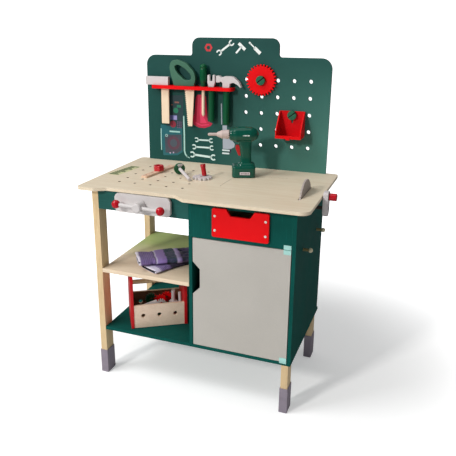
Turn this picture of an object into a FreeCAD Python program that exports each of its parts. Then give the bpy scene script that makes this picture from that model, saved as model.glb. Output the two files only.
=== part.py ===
# A child's tool bench: a wooden worktop on tall left legs and a painted cupboard, a pegboard with a
# tool rack behind it, a vice, a cranked bench saw, a drawer, a door, and the toy tools that go with it.
# Millimetres.  The layout frame starts at the outer front corner of the front left leg, on the floor:
# X runs right, Y runs back, Z runs up.  Every finished piece is then shifted so that the origin lies
# on the floor, under the middle of the whole bench.
import FreeCAD, Part
import math
import os
import re

from FreeCAD import Rotation, Vector

os.makedirs("parts", exist_ok=True)
doc = FreeCAD.newDocument("ToyToolBench")

# ---------------------------------------------------------------------------------------------
# Driving dimensions
# ---------------------------------------------------------------------------------------------
DIMENSIONS = [
    # the frame
    ("frame_wide", 600), ("frame_deep", 356), ("leg_wide", 20), ("leg_deep", 40),
    ("sleeve_wall", 2), ("sleeve_high", 78), ("sleeve_floor", 4), ("leg_inset", 5.5),
    ("panel_thick", 10), ("base_low", 151), ("base_deep", 372), ("shelf_low", 342),
    ("shelf_thick", 12), ("divider_at", 300), ("apron_low", 541), ("apron_thick", 12),
    ("batten_thick", 15), ("batten_wide", 40), ("batten_in", 30),
    # the worktop
    ("top_low", 600), ("top_thick", 9), ("over_left", 34), ("over_right", 36), ("over_front", 35),
    ("tab_front", 28), ("recess_front", 9), ("top_back", 382), ("peg_pitch", 50), ("peg_first", 56),
    ("peg_front", 63), ("peg_radius", 4),
    # the pegboard and its rack
    ("board_wide", 598), ("board_low", 545), ("board_shoulder", 950.5), ("board_high", 1005),
    ("board_front", 371), ("board_thick", 10), ("header_left", 159), ("header_right", 439),
    ("hole_first", 338), ("hole_low", 683), ("hole_pitch", 50), ("hole_radius", 6),
    ("rack_left", 28), ("rack_right", 302), ("rack_front", 338), ("rack_low", 848),
    ("rack_thick", 10),
    # the cupboard front
    ("surround_low", 493), ("door_gap", 2), ("door_thick", 9), ("pivot_in", 12),
    ("leaf_wide", 20), ("leaf_high", 12), ("pin_radius", 2), ("slack", 0.05),
    ("notch_high", 98), ("notch_flat", 56), ("notch_deep", 21), ("notch_mid", 372),
    # the drawer
    ("drawer_mid", 450), ("drawer_wide", 157), ("drawer_low", 505), ("drawer_high", 80),
    ("drawer_front_thick", 8), ("tray_wide", 150), ("tray_wall", 10), ("tray_deep", 205),
    ("tray_high", 50), ("screw_up", 19), ("screw_rise", 40),
    # the vice
    ("vice_across", 167), ("vice_up", 571), ("jaw_wide", 171), ("jaw_high", 54),
    ("jaw_thick", 10), ("jaw_gap", 4), ("hub_radius", 13.5), ("hub_long", 36),
    ("screw_radius", 8), ("screw_long", 70), ("guide_apart", 120), ("guide_radius", 4),
    ("handle_radius", 5), ("handle_long", 135), ("ball_radius", 12), ("handle_tilt", 2.3),
    # the bench saw and its crank
    ("saw_across", 584), ("saw_thick", 5), ("saw_radius", 75), ("saw_back", 141),
    ("saw_up", 572), ("axle_radius", 5), ("arm_left", 638), ("arm_thick", 14),
    ("arm_throw", 33), ("arm_foot", 7), ("arm_radius", 15), ("knob_end", 673),
    # side pegs
    ("side_peg_up", 465), ("side_peg_apart", 177), ("side_peg_radius", 4), ("side_peg_out", 20),
    ("side_peg_head", 6.5),
    # gear wheel, bin and the big plastic bolts
    ("bolt_radius", 5.95), ("bolt_head", 14), ("bolt_head_thick", 9), ("gear_radius", 47),
    ("gear_teeth", 28), ("gear_thick", 8), ("bin_wide", 78), ("bin_high", 77), ("bin_deep", 48),
    ("bin_wall", 3), ("bin_above", 12),
    # tools in the rack
    ("tool_plane", 356), ("stock_left", 5), ("stock_right", 84), ("stock_high", 26),
    ("stock_thick", 14), ("rule_left", 57.5), ("rule_thick", 6), ("rule_low", 735),
    ("saw_blade_low", 731), ("saw_blade_thick", 5), ("saw_grip_thick", 14),
    ("driver_across", 202.5), ("driver_low", 765), ("driver_radius", 11), ("driver_shaft", 5),
    ("wrench_across", 230.5), ("wrench_low", 750), ("wrench_grip", 9.5), ("wrench_thick", 12),
    ("hammer_across", 280), ("hammer_low", 743), ("hammer_grip", 10), ("hammer_thick", 16),
    # drill
    ("drill_across", 372.5), ("drill_back", 254), ("drill_turn", 21), ("drill_axis", 127),
    ("barrel_radius", 23.5), ("battery_wide", 70), ("battery_deep", 52), ("battery_high", 35),
    ("chuck_radius", 13.5), ("bit_radius", 4.4),
    # toolbox
    ("crate_across", 103), ("crate_back", 13.5), ("crate_turn", 32.4), ("crate_long", 172),
    ("crate_deep", 110), ("crate_high", 168), ("crate_board", 75), ("crate_wall", 9),
    ("crate_rod", 7), ("crate_rod_up", 131),
    # loose bits on the worktop and the gloves
    ("strip_across", 103), ("strip_back", 126), ("strip_turn", -8), ("strip_long", 160),
    ("strip_wide", 20), ("strip_thick", 6), ("nut_radius", 17), ("nut_high", 16),
    ("spur_across", 268), ("spur_back", 182), ("spur_radius", 29), ("spur_thick", 7),
    ("loose_gap", 0.1), ("disc_radius", 17), ("disc_thick", 8), ("disc_rod", 5),
    ("disc_rod_long", 86), ("glove_long", 198), ("glove_wide", 88), ("glove_thick", 13),
    ("upper_glove_wide", 106), ("upper_glove_thick", 18),
]

sheet = doc.addObject("Spreadsheet::Sheet", "Dims")
for row, (name, number) in enumerate(DIMENSIONS, start=1):
    sheet.set("A%d" % row, name)
    sheet.set("B%d" % row, str(number))
    sheet.setAlias("B%d" % row, name)
doc.recompute()

NAMES = {name for name, number in DIMENSIONS}


class Sizes:
    """Reads a driving dimension back from the sheet: size.leg_wide."""

    def __getattr__(self, name):
        return float(getattr(sheet, name))


size = Sizes()

# ---------------------------------------------------------------------------------------------
# Helpers
# ---------------------------------------------------------------------------------------------
TURN = {
    "Z": Rotation(),
    "X": Rotation(Vector(0, 1, 0), 90),
    "Y": Rotation(Vector(1, 0, 0), -90),
}
MIDDLE_X = "(knob_end - over_left) / 2"
BACK_END = "board_front + board_thick + 10"
FRONT_END = "0 - jaw_gap - jaw_thick - hub_long / 2 - 6 - ball_radius"
MIDDLE_Y = "((" + BACK_END + ") + (" + FRONT_END + ")) / 2"

places = {}
finished = {}


def formula(words):
    """Points each dimension's name in a formula at the sheet."""
    def point(match):
        word = match.group(0)
        return "Dims." + word if word in NAMES else word
    return re.sub(r"[a-z_]+", point, str(words))


def bind(thing, prop, words):
    thing.setExpression(prop, formula(words))


def put(thing, x="0", y="0", z="0"):
    """Places a thing in the layout frame."""
    places[thing.Name] = (str(x), str(y), str(z))
    bind(thing, "Placement.Base.x", x)
    bind(thing, "Placement.Base.y", y)
    bind(thing, "Placement.Base.z", z)
    return thing


def block(name, x, y, z, wide, deep, high):
    thing = doc.addObject("Part::Box", name)
    bind(thing, "Length", wide)
    bind(thing, "Width", deep)
    bind(thing, "Height", high)
    return put(thing, x, y, z)


def rod(name, x, y, z, radius, length, axis="Z"):
    thing = doc.addObject("Part::Cylinder", name)
    bind(thing, "Radius", radius)
    bind(thing, "Height", length)
    thing.Placement.Rotation = TURN[axis]
    return put(thing, x, y, z)


def ball(name, x, y, z, radius):
    thing = doc.addObject("Part::Sphere", name)
    bind(thing, "Radius", radius)
    return put(thing, x, y, z)


def cut(name, base, tools):
    """The base with the tools taken away."""
    thing = doc.addObject("Part::Cut", name)
    thing.Base = base
    thing.Tool = tools[0] if len(tools) == 1 else fuse(name + "Tools", tools)
    return put(thing)


def fuse(name, parts):
    thing = doc.addObject("Part::MultiFuse", name)
    thing.Shapes = parts
    return put(thing)


def common(name, first, second):
    thing = doc.addObject("Part::Common", name)
    thing.Base = first
    thing.Tool = second
    return put(thing)


def group(name, parts):
    """Several separate solids that share one node."""
    thing = doc.addObject("Part::Compound", name)
    thing.Links = parts
    return put(thing)


def outline(sketch, corners):
    """Draws a closed outline; each corner is (across, up, rounding radius).

    A radius too big for the edges beside it is cut back to the largest that fits."""
    spans = []
    count = len(corners)
    for index in range(count):
        across, up, radius = corners[index]
        here = Vector(across, up, 0)
        before = Vector(corners[index - 1][0], corners[index - 1][1], 0)
        after = Vector(corners[(index + 1) % count][0], corners[(index + 1) % count][1], 0)
        if radius <= 0:
            spans.append((here, None, here))
            continue
        back = (before - here).normalize()
        ahead = (after - here).normalize()
        half = back.getAngle(ahead) / 2
        inward = (back + ahead).normalize()
        room = 0.49 * min((before - here).Length, (after - here).Length)
        radius = min(radius, room * math.tan(half))
        centre = here + inward * (radius / math.sin(half))
        reach = radius / math.tan(half)
        spans.append((here + back * reach, centre - inward * radius, here + ahead * reach))
    for index in range(count):
        start, middle, end = spans[index]
        following = spans[(index + 1) % count][0]
        if middle is not None:
            sketch.addGeometry(Part.Arc(start, middle, end), False)
        if (following - end).Length > 1e-6:
            sketch.addGeometry(Part.LineSegment(end, following), False)


def rounded(left, low, wide, high, radius):
    """The corners of a rounded rectangle."""
    right = left + wide
    top = low + high
    return [(left, low, radius), (right, low, radius), (right, top, radius), (left, top, radius)]


def new_sketch(body, name, plane):
    sketch = body.newObject("Sketcher::SketchObject", name)
    origin = [item for item in body.Origin.OriginFeatures if item.Role == plane][0]
    sketch.AttachmentSupport = [(origin, "")]
    sketch.MapMode = "FlatFace"
    return sketch


def plate(name, plane, corners, thick, x="0", y="0", z="0", holes=(), windows=()):
    """A board sawn from sheet.  XY boards grow up, XZ boards grow back, YZ boards grow right."""
    body = doc.addObject("PartDesign::Body", name)
    sketch = new_sketch(body, name + "Outline", plane)
    outline(sketch, corners)
    for across, up, radius in holes:
        sketch.addGeometry(Part.Circle(Vector(across, up, 0), Vector(0, 0, 1), radius), False)
    for window in windows:
        outline(sketch, window)
    pad = body.newObject("PartDesign::Pad", name + "Pad")
    pad.Profile = sketch
    bind(pad, "Length", thick)
    pad.Reversed = plane == "XZ_Plane"
    sketch.Visibility = False
    return put(body, x, y, z)


def turned(name, axis, stations, x="0", y="0", z="0"):
    """A turned piece: stations are (distance along the axis, radius)."""
    body = doc.addObject("PartDesign::Body", name)
    sketch = new_sketch(body, name + "Profile", "XY_Plane")
    rim = [(stations[0][0], 0, 0)] + [(along, radius, 0) for along, radius in stations]
    rim = rim + [(stations[-1][0], 0, 0)]
    outline(sketch, [spot for index, spot in enumerate(rim) if index == 0 or spot != rim[index - 1]])
    spin = body.newObject("PartDesign::Revolution", name + "Turn")
    spin.Profile = sketch
    spin.ReferenceAxis = (sketch, ["H_Axis"])
    spin.Angle = 360
    sketch.Visibility = False
    along = {"X": Rotation(), "Y": Rotation(Vector(0, 0, 1), 90), "Z": Rotation(Vector(0, 1, 0), -90)}
    body.Placement.Rotation = along[axis]
    return put(body, x, y, z)


def finish(node, thing, x="0", y="0", z="0", axis=None, turn=None):
    """Names a piece, moves it from the layout frame to the bench's own frame and lists it."""
    own = places[thing.Name]
    if turn is not None:
        thing.Placement.Rotation = Rotation(axis, 0)
        bind(thing, "Placement.Rotation.Angle", turn)
    bind(thing, "Placement.Base.x", "(%s) + (%s) - (%s)" % (own[0], x, MIDDLE_X))
    bind(thing, "Placement.Base.y", "(%s) + (%s) - (%s)" % (own[1], y, MIDDLE_Y))
    bind(thing, "Placement.Base.z", "(%s) + (%s)" % (own[2], z))
    thing.Label = node
    finished[node] = thing


def teeth(count, outer, inner, tip_share=0.5):
    """The outline of a wheel with square-cut teeth."""
    corners = []
    step = 2 * math.pi / count
    for index in range(count):
        for share, radius in ((0, inner), (0.08, outer), (tip_share, outer), (tip_share + 0.08, inner)):
            angle = step * (index + share)
            corners.append((radius * math.cos(angle), radius * math.sin(angle), 0))
    return corners


TOP = "top_low + top_thick"
BASE_TOP = "base_low + panel_thick"
SHELF_TOP = "shelf_low + shelf_thick"
SIDE_LEFT = "frame_wide - panel_thick"
DIVIDER_RIGHT = "divider_at + panel_thick"
UP = Vector(0, 0, 1)

# ---------------------------------------------------------------------------------------------
# Frame: legs, sleeves, boards and aprons
# ---------------------------------------------------------------------------------------------
CAP_RADIUS = "3.5"
CAP_DEEP = "3"


def cap_spots():
    """Screw caps as (name, x, y, z, axis): the flush heads that hold the boards to the frame."""
    spots = []
    for number, back in enumerate(("leg_deep / 2", "frame_deep - leg_deep / 2")):
        low = TOP + " - 3"
        spots.append(("TopLeftCap%d" % number, "leg_wide / 2", back, low, "Z", "worktop"))
        right = "frame_wide - panel_thick / 2"
        shift = "30" if number == 0 else "frame_deep - 30"
        spots.append(("TopRightCap%d" % number, right, shift, low, "Z", "worktop"))
        for level, height in enumerate(("base_low + panel_thick / 2", "shelf_low + shelf_thick / 2")):
            spots.append(("LegCap%d%d" % (number, level), "0", back, height, "X", "legs"))
    for number, across in enumerate(("batten_in + batten_wide / 2",
                                     "frame_wide - batten_in - batten_wide / 2")):
        for level, height in enumerate(("board_low + 12", "board_low + 40")):
            rear = "board_front + board_thick - 3"
            spots.append(("BoardCap%d%d" % (number, level), across, rear, height, "Y", "board"))
    return spots


def caps_for(host):
    """The cutters that let one host's caps in flush."""
    cutters = []
    for name, x, y, z, axis, owner in cap_spots():
        if owner == host:
            cutters.append(rod(name + "Seat", x, y, z, CAP_RADIUS, CAP_DEEP, axis))
    return cutters


def worktop_piece():
    left = -size.over_left
    right = size.frame_wide + size.over_right
    front = -size.over_front
    back = size.top_back
    notch_left = -1
    notch_right = size.board_wide + 1
    corners = [
        (left, -size.tab_front, 14), (22, -size.tab_front, 10), (55, -size.recess_front, 10),
        (265, -size.recess_front, 14), (298, front, 14), (right, front, 26),
        (right, back, 14), (notch_right, back, 0), (notch_right, size.board_front, 0),
        (notch_left, size.board_front, 0), (notch_left, back, 0), (left, back, 14),
    ]
    holes = []
    for column in range(5):
        for line in range(5):
            across = size.peg_first + column * size.peg_pitch
            deep = size.peg_front + line * size.peg_pitch
            holes.append((across, deep, size.peg_radius))
    slot = rounded(size.saw_across - 1.5, size.saw_back - 73, size.saw_thick + 3, 146, 3)
    return plate("Worktop", "XY_Plane", corners, "top_thick", z="top_low", holes=holes, windows=[slot])


finish("worktop", cut("WorktopSeated", worktop_piece(), caps_for("worktop")))

left_legs = [
    block("FrontLeftLeg", "0", "0", "sleeve_floor", "leg_wide", "leg_deep", "top_low - sleeve_floor"),
    block("BackLeftLeg", "0", "frame_deep - leg_deep", "sleeve_floor", "leg_wide", "leg_deep",
          "top_low - sleeve_floor"),
]
leg_seats = caps_for("legs")
finish("left_legs", group("LeftLegs", [
    cut("FrontLegSeated", left_legs[0], leg_seats[:2]),
    cut("BackLegSeated", left_legs[1], leg_seats[2:]),
]))

RIGHT_LEG = "frame_wide - leg_inset - leg_wide"
finish("right_legs", group("RightLegs", [
    block("FrontRightLeg", RIGHT_LEG, "0", "sleeve_floor", "leg_wide", "leg_deep",
          "base_low - sleeve_floor"),
    block("BackRightLeg", RIGHT_LEG, "frame_deep - leg_deep", "sleeve_floor", "leg_wide", "leg_deep",
          "base_low - sleeve_floor"),
]))


def sleeve(name, x, y):
    """A plastic shoe round the foot of a leg, open at the top."""
    shell = block(name + "Shell", "(%s) - sleeve_wall" % x, "(%s) - sleeve_wall" % y, "0",
                  "leg_wide + 2 * sleeve_wall", "leg_deep + 2 * sleeve_wall", "sleeve_high")
    hollow = block(name + "Hollow", x, y, "sleeve_floor", "leg_wide", "leg_deep", "sleeve_high")
    return cut(name, shell, [hollow])


finish("foot_sleeves", group("FootSleeves", [
    sleeve("FrontLeftShoe", "0", "0"),
    sleeve("BackLeftShoe", "0", "frame_deep - leg_deep"),
    sleeve("FrontRightShoe", RIGHT_LEG, "0"),
    sleeve("BackRightShoe", RIGHT_LEG, "frame_deep - leg_deep"),
]))

LEAF_X = SIDE_LEFT + " - door_gap - leaf_wide"
PIVOT_X = SIDE_LEFT + " - pivot_in"
PIVOT_Y = "door_thick / 2 - 0.5"
LEAF_DEEP = "door_thick"
FOOT_LEAF_THICK = "4"

base = block("BottomBoardBlank", "leg_wide", "0", "base_low", "frame_wide - leg_wide", "base_deep",
             "panel_thick")
base_seat = block("FootLeafSeat", LEAF_X, "0", BASE_TOP + " - " + FOOT_LEAF_THICK, "leaf_wide",
                  LEAF_DEEP, FOOT_LEAF_THICK)
finish("bottom_board", cut("BottomBoard", base, [base_seat]))

finish("middle_shelf", block("MiddleShelf", "leg_wide", "0", "shelf_low", "divider_at - leg_wide",
                             "frame_deep", "shelf_thick"))
WALL_HIGH = "top_low - base_low - panel_thick"
finish("cabinet_divider", block("Divider", "divider_at", "0", BASE_TOP, "panel_thick", "frame_deep",
                                WALL_HIGH))

side = block("SideBlank", SIDE_LEFT, "0", BASE_TOP, "panel_thick", "frame_deep", WALL_HIGH)
SIDE_PEG_Y = ("frame_deep / 2 - side_peg_apart / 2", "frame_deep / 2 + side_peg_apart / 2")
side_holes = [rod("AxleHole", SIDE_LEFT, "saw_back", "saw_up", "axle_radius + slack", "panel_thick", "X")]
for number, back in enumerate(SIDE_PEG_Y):
    side_holes.append(rod("SidePegSeat%d" % number, "frame_wide - 7", back, "side_peg_up",
                          "side_peg_radius", "8", "X"))
finish("cabinet_side", cut("Side", side, side_holes))
finish("cabinet_back", block("CabinetBack", DIVIDER_RIGHT, "frame_deep - panel_thick", BASE_TOP,
                             "frame_wide - divider_at - 2 * panel_thick", "panel_thick", WALL_HIGH))

APRON_HIGH = "top_low - apron_low"
front_apron = block("FrontApronBlank", "leg_wide", "0", "apron_low", "divider_at - leg_wide",
                    "apron_thick", APRON_HIGH)
guide_spots = ("vice_across - guide_apart / 2", "vice_across + guide_apart / 2")
apron_holes = [rod("ApronScrewHole", "vice_across", "-1", "vice_up", "screw_radius + 1",
                   "apron_thick + 2", "Y")]
for number, across in enumerate(guide_spots):
    apron_holes.append(rod("ApronGuideHole%d" % number, across, "-1", "vice_up",
                           "guide_radius + slack", "apron_thick + 2", "Y"))
finish("front_apron", cut("FrontApron", front_apron, apron_holes))
finish("rear_aprons", group("RearAprons", [
    block("BackApron", "leg_wide", "frame_deep - apron_thick", "apron_low", "divider_at - leg_wide",
          "apron_thick", APRON_HIGH),
    block("SideApron", "4", "leg_deep", "apron_low", "apron_thick", "frame_deep - 2 * leg_deep",
          APRON_HIGH),
]))

finish("board_battens", group("BoardBattens", [
    block("LeftBatten", "batten_in", "frame_deep", "board_low + 2", "batten_wide", "batten_thick",
          "top_low - board_low - 4"),
    block("RightBatten", "frame_wide - batten_in - batten_wide", "frame_deep", "board_low + 2",
          "batten_wide", "batten_thick", "top_low - board_low - 4"),
]))

finish("frame_screws", group("FrameScrews", [
    rod(name, x, y, z, CAP_RADIUS, CAP_DEEP, axis) for name, x, y, z, axis, owner in cap_spots()
]))

# ---------------------------------------------------------------------------------------------
# Pegboard, rack and the big plastic bolts
# ---------------------------------------------------------------------------------------------
GEAR_COLUMN, GEAR_LINE = 1, 4
BIN_COLUMN, BIN_LINE = 3, 2


def board_piece():
    wide = size.board_wide
    shoulder = size.board_shoulder
    corners = [
        (0, size.board_low, 4), (wide, size.board_low, 4), (wide, shoulder, 32),
        (size.header_right, shoulder, 8), (size.header_right, size.board_high, 24),
        (size.header_left, size.board_high, 24), (size.header_left, shoulder, 8), (0, shoulder, 30),
    ]
    holes = []
    for column in range(5):
        for line in range(5):
            across = size.hole_first + column * size.hole_pitch
            up = size.hole_low + line * size.hole_pitch
            holes.append((across, up, size.hole_radius))
    return plate("Pegboard", "XZ_Plane", corners, "board_thick", y="board_front", holes=holes)


finish("pegboard", cut("PegboardSeated", board_piece(), caps_for("board")))


def rack_piece():
    """The shelf that the tools hang through: one window or round hole for each tool."""
    reach = size.board_front - size.rack_front
    corners = [
        (size.rack_left, size.rack_front, 10), (size.rack_right, size.rack_front, 10),
        (size.rack_right, size.rack_front + reach, 0), (size.rack_left, size.rack_front + reach, 0),
    ]
    middle = size.tool_plane
    rule_slot = rounded(size.rule_left - 1, middle - size.rule_thick / 2 - 1,
                        size.stock_right - size.rule_left + 1, size.rule_thick + 2, 2)
    saw_slot = rounded(134, middle - size.saw_blade_thick / 2 - 1, 42, size.saw_blade_thick + 2, 2)
    holes = [
        (size.driver_across, middle, size.driver_shaft + 0.5),
        (size.wrench_across, middle, size.wrench_grip + 0.5),
        (size.hammer_across, middle, size.hammer_grip + 0.5),
    ]
    return plate("ToolRack", "XY_Plane", corners, "rack_thick", z="rack_low", holes=holes,
                 windows=[rule_slot, saw_slot])


finish("tool_rack", rack_piece())


def hole_at(column, line):
    across = "hole_first + %d * hole_pitch" % column
    up = "hole_low + %d * hole_pitch" % line
    return across, up


def big_bolt(name, column, line, stack):
    """A plastic bolt with a slotted round head; stack is what it holds in front of the board."""
    across, up = hole_at(column, line)
    head_back = "board_front - 1 - (%s) - 0.5" % stack
    head = rod(name + "Head", across, "(%s) - bolt_head_thick" % head_back, up, "bolt_head",
               "bolt_head_thick", "Y")
    shank = rod(name + "Shank", across, head_back, up, "bolt_radius",
                "board_front + board_thick + 10 - (%s)" % head_back, "Y")
    slot = block(name + "Slot", "0 - bolt_head", "0", "-1.5", "2 * bolt_head", "3", "3")
    slot.Placement.Rotation = Rotation(Vector(0, 1, 0), -38)
    half = size.bolt_head * math.cos(math.radians(38))
    drop = size.bolt_head * math.sin(math.radians(38))
    put(slot, "(%s) - %.3f" % (across, half), "(%s) - bolt_head_thick - 0.5" % head_back,
        "(%s) - %.3f - 1.2" % (up, drop))
    return cut(name, fuse(name + "Blank", [head, shank]), [slot])


def hex_corners(radius, turn=0):
    spots = []
    for index in range(6):
        angle = math.radians(60 * index + turn)
        spots.append((radius * math.cos(angle), radius * math.sin(angle), 1))
    return spots


def board_nut(name, column, line):
    """The nut behind the pegboard, a close fit on its bolt's shank."""
    across, up = hole_at(column, line)
    return plate(name, "XZ_Plane", hex_corners(15), "8", across, "board_front + board_thick", up,
                 holes=[(0, 0, size.bolt_radius)])


finish("board_bolts", group("BoardBolts", [
    big_bolt("GearBolt", GEAR_COLUMN, GEAR_LINE, "gear_thick"),
    big_bolt("BinBolt", BIN_COLUMN, BIN_LINE, "bin_wall"),
    board_nut("GearNut", GEAR_COLUMN, GEAR_LINE),
    board_nut("BinNut", BIN_COLUMN, BIN_LINE),
]))

gear_x, gear_z = hole_at(GEAR_COLUMN, GEAR_LINE)
finish("gear_wheel", plate("GearWheel", "XZ_Plane",
                           teeth(int(size.gear_teeth), size.gear_radius, size.gear_radius - 6),
                           "gear_thick", gear_x, "board_front - 1 - gear_thick", gear_z,
                           holes=[(0, 0, size.bolt_radius + size.slack)]))


def bin_piece():
    """An open-fronted hanging bin: keyholed back, sloping cheeks, floor and a low front lip."""
    wide = size.bin_wide
    high = size.bin_high
    wall = size.bin_wall
    above = size.bin_above
    deep = size.bin_deep
    back = plate("BinBack", "XZ_Plane", rounded(-wide / 2, above - high, wide, high, 4), "bin_wall",
                 holes=[(0, 0, size.bolt_radius + size.slack)])
    slot = plate("BinKeyhole", "XZ_Plane",
                 [(-2.5, -24, 2), (2.5, -24, 2), (4.5, -3, 0), (-4.5, -3, 0)], "bin_wall + 2", y="-1")
    low = above - high
    cheek = [(0, low, 0), (0, above, 0), (-6, above, 4), (-deep, low + 22, 6), (-deep, low, 5)]
    left = plate("BinLeftCheek", "YZ_Plane", cheek, "bin_wall", x="0 - bin_wide / 2")
    right = plate("BinRightCheek", "YZ_Plane", cheek, "bin_wall", x="bin_wide / 2 - bin_wall")
    floor = block("BinFloor", "0 - bin_wide / 2", "0 - bin_deep", "bin_above - bin_high", "bin_wide",
                  "bin_deep", "bin_wall")
    lip = block("BinLip", "0 - bin_wide / 2", "0 - bin_deep", "bin_above - bin_high", "bin_wide",
                "bin_wall", "9")
    tongue = block("BinTongue", "-6", "0 - bin_deep - 2", "bin_above - bin_high - 3", "12", "4", "9")
    return cut("HangingBin", fuse("BinBlank", [back, left, right, floor, lip, tongue]), [slot])


bin_x, bin_z = hole_at(BIN_COLUMN, BIN_LINE)
finish("hanging_bin", bin_piece(), bin_x, "board_front - 1 - bin_wall", bin_z)

# ---------------------------------------------------------------------------------------------
# Cupboard door, its pivots and the drawer with its surround
# ---------------------------------------------------------------------------------------------


def surround_piece():
    """The panel round the drawer, with the upper pivot leaf's seat cut from its corner."""
    left = size.divider_at + size.panel_thick
    right = size.frame_wide - size.panel_thick
    low = size.surround_low
    mid = size.drawer_mid
    half = size.tray_wide / 2 + 1
    seat = right - size.door_gap - size.leaf_wide
    leaf_top = low + size.leaf_high
    window = rounded(mid - half, size.drawer_low + 5, 2 * half, size.drawer_high - 8, 2)
    corners = [
        (left, low, 0), (seat, low, 0), (seat, leaf_top, 0), (right - size.door_gap, leaf_top, 0),
        (right - size.door_gap, low, 0), (right, low, 0), (right, size.top_low, 0),
        (left, size.top_low, 0),
    ]
    return plate("DrawerSurround", "XZ_Plane", corners, "panel_thick", windows=[window])


finish("drawer_surround", surround_piece())

LEAF_TOP_LOW = "surround_low"
upper_leaf = fuse("UpperFrameLeaf", [
    block("UpperLeafPad", LEAF_X, "-1", LEAF_TOP_LOW, "leaf_wide", LEAF_DEEP + " + 1", "leaf_high"),
    rod("UpperPin", PIVOT_X, PIVOT_Y, "surround_low - 10", "pin_radius", "11"),
])
lower_leaf = fuse("LowerFrameLeaf", [
    block("LowerLeafPad", LEAF_X, "0", BASE_TOP + " - " + FOOT_LEAF_THICK, "leaf_wide", LEAF_DEEP,
          FOOT_LEAF_THICK),
    rod("LowerPin", PIVOT_X, PIVOT_Y, BASE_TOP + " - 1", "pin_radius", "10"),
])
finish("frame_hinge_leaves", group("FrameHingeLeaves", [upper_leaf, lower_leaf]))

DOOR_LOW = BASE_TOP + " + 1"
DOOR_TOP = "surround_low - 2"


def door_piece():
    """The door: a half-hexagon finger notch on its free edge, corners cut out for its leaves."""
    left = size.divider_at + size.panel_thick + size.door_gap
    right = size.frame_wide - size.panel_thick - size.door_gap
    low = size.base_low + size.panel_thick + 1
    top = size.surround_low - 2
    seat = right - size.leaf_wide
    leaf = size.leaf_high
    middle = size.notch_mid
    corners = [
        (left, low, 1), (seat, low, 0), (seat, low + leaf, 0), (right, low + leaf, 0),
        (right, top - leaf, 0), (seat, top - leaf, 0), (seat, top, 0), (left, top, 1),
        (left, middle + size.notch_high / 2, 1),
        (left + size.notch_deep, middle + size.notch_flat / 2, 1),
        (left + size.notch_deep, middle - size.notch_flat / 2, 1),
        (left, middle - size.notch_high / 2, 1),
    ]
    return plate("Door", "XZ_Plane", corners, "door_thick")


finish("door", door_piece())


def door_leaf(name, low, pin_low):
    pad = block(name + "Pad", LEAF_X, "-1", low, "leaf_wide", LEAF_DEEP + " + 1", "leaf_high")
    hole = rod(name + "Hole", PIVOT_X, PIVOT_Y, pin_low, "pin_radius + slack", "11")
    return cut(name, pad, [hole])


finish("door_hinge_leaves", group("DoorHingeLeaves", [
    door_leaf("UpperDoorLeaf", DOOR_TOP + " - leaf_high", DOOR_TOP + " - 10"),
    door_leaf("LowerDoorLeaf", DOOR_LOW, DOOR_LOW + " - 1"),
]))


def drawer_face():
    """The red drawer front with its finger notch; round seats take the screws."""
    mid = size.drawer_mid
    half = size.drawer_wide / 2
    low = size.drawer_low
    top = low + size.drawer_high
    corners = [
        (mid - half, low, 5), (mid + half, low, 5), (mid + half, top, 5), (mid + 39, top, 4),
        (mid + 27, top - 19, 4), (mid - 27, top - 19, 4), (mid - 39, top, 4), (mid - half, top, 5),
    ]
    seats = [(across, up, 2) for across, up in drawer_screw_spots()]
    return plate("DrawerFace", "XZ_Plane", corners, "drawer_front_thick",
                 y="0 - drawer_front_thick - 0.2", holes=seats)


def drawer_screw_spots():
    reach = size.tray_wide / 2 - size.tray_wall / 2
    spots = []
    for across in (size.drawer_mid - reach, size.drawer_mid + reach):
        for rise in (size.screw_up, size.screw_up + size.screw_rise):
            spots.append((across, size.drawer_low + rise))
    return spots


finish("drawer_front", drawer_face())

TRAY_LEFT = "drawer_mid - tray_wide / 2"
TRAY_LOW = "drawer_low + 6"
TRAY_FRONT = "-0.2"
WALL_BACK = "tray_deep - tray_wall - 0.2"
tray_holes = []
for number, (across, up) in enumerate(drawer_screw_spots()):
    tray_holes.append(rod("TrayScrewHole%d" % number, across, "-1", up, "2", "17", "Y"))
tray_walls = [
    cut("TrayLeft", block("TrayLeftBlank", TRAY_LEFT, TRAY_FRONT, TRAY_LOW, "tray_wall", "tray_deep",
                          "tray_high"), tray_holes[:2]),
    cut("TrayRight", block("TrayRightBlank", TRAY_LEFT + " + tray_wide - tray_wall", TRAY_FRONT,
                           TRAY_LOW, "tray_wall", "tray_deep", "tray_high"), tray_holes[2:]),
    block("TrayBack", TRAY_LEFT + " + tray_wall", WALL_BACK, TRAY_LOW, "tray_wide - 2 * tray_wall",
          "tray_wall", "tray_high"),
    block("TrayFloor", TRAY_LEFT + " + tray_wall", TRAY_FRONT, TRAY_LOW, "tray_wide - 2 * tray_wall",
          "tray_deep - tray_wall", "5"),
]
finish("drawer_tray", group("DrawerTray", tray_walls))


def drawer_screw(name, across, up):
    head = rod(name + "Head", across, "0 - drawer_front_thick - 1.7", up, "3.5", "1.5", "Y")
    shank = rod(name + "Shank", across, "0 - drawer_front_thick - 0.5", up, "2",
                "drawer_front_thick + 15", "Y")
    return fuse(name, [head, shank])


finish("drawer_screws", group("DrawerScrews", [
    drawer_screw("DrawerScrew%d" % number, across, up)
    for number, (across, up) in enumerate(drawer_screw_spots())
]))
RUNNER_DEEP = "frame_deep - 2 * panel_thick"
finish("drawer_runners", group("DrawerRunners", [
    block("LeftRunner", TRAY_LEFT + " - 6", "panel_thick", "drawer_low - 6", "18", RUNNER_DEEP, "11.5"),
    block("RightRunner", TRAY_LEFT + " + tray_wide - 12", "panel_thick", "drawer_low - 6", "18",
          RUNNER_DEEP, "11.5"),
]))

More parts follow.
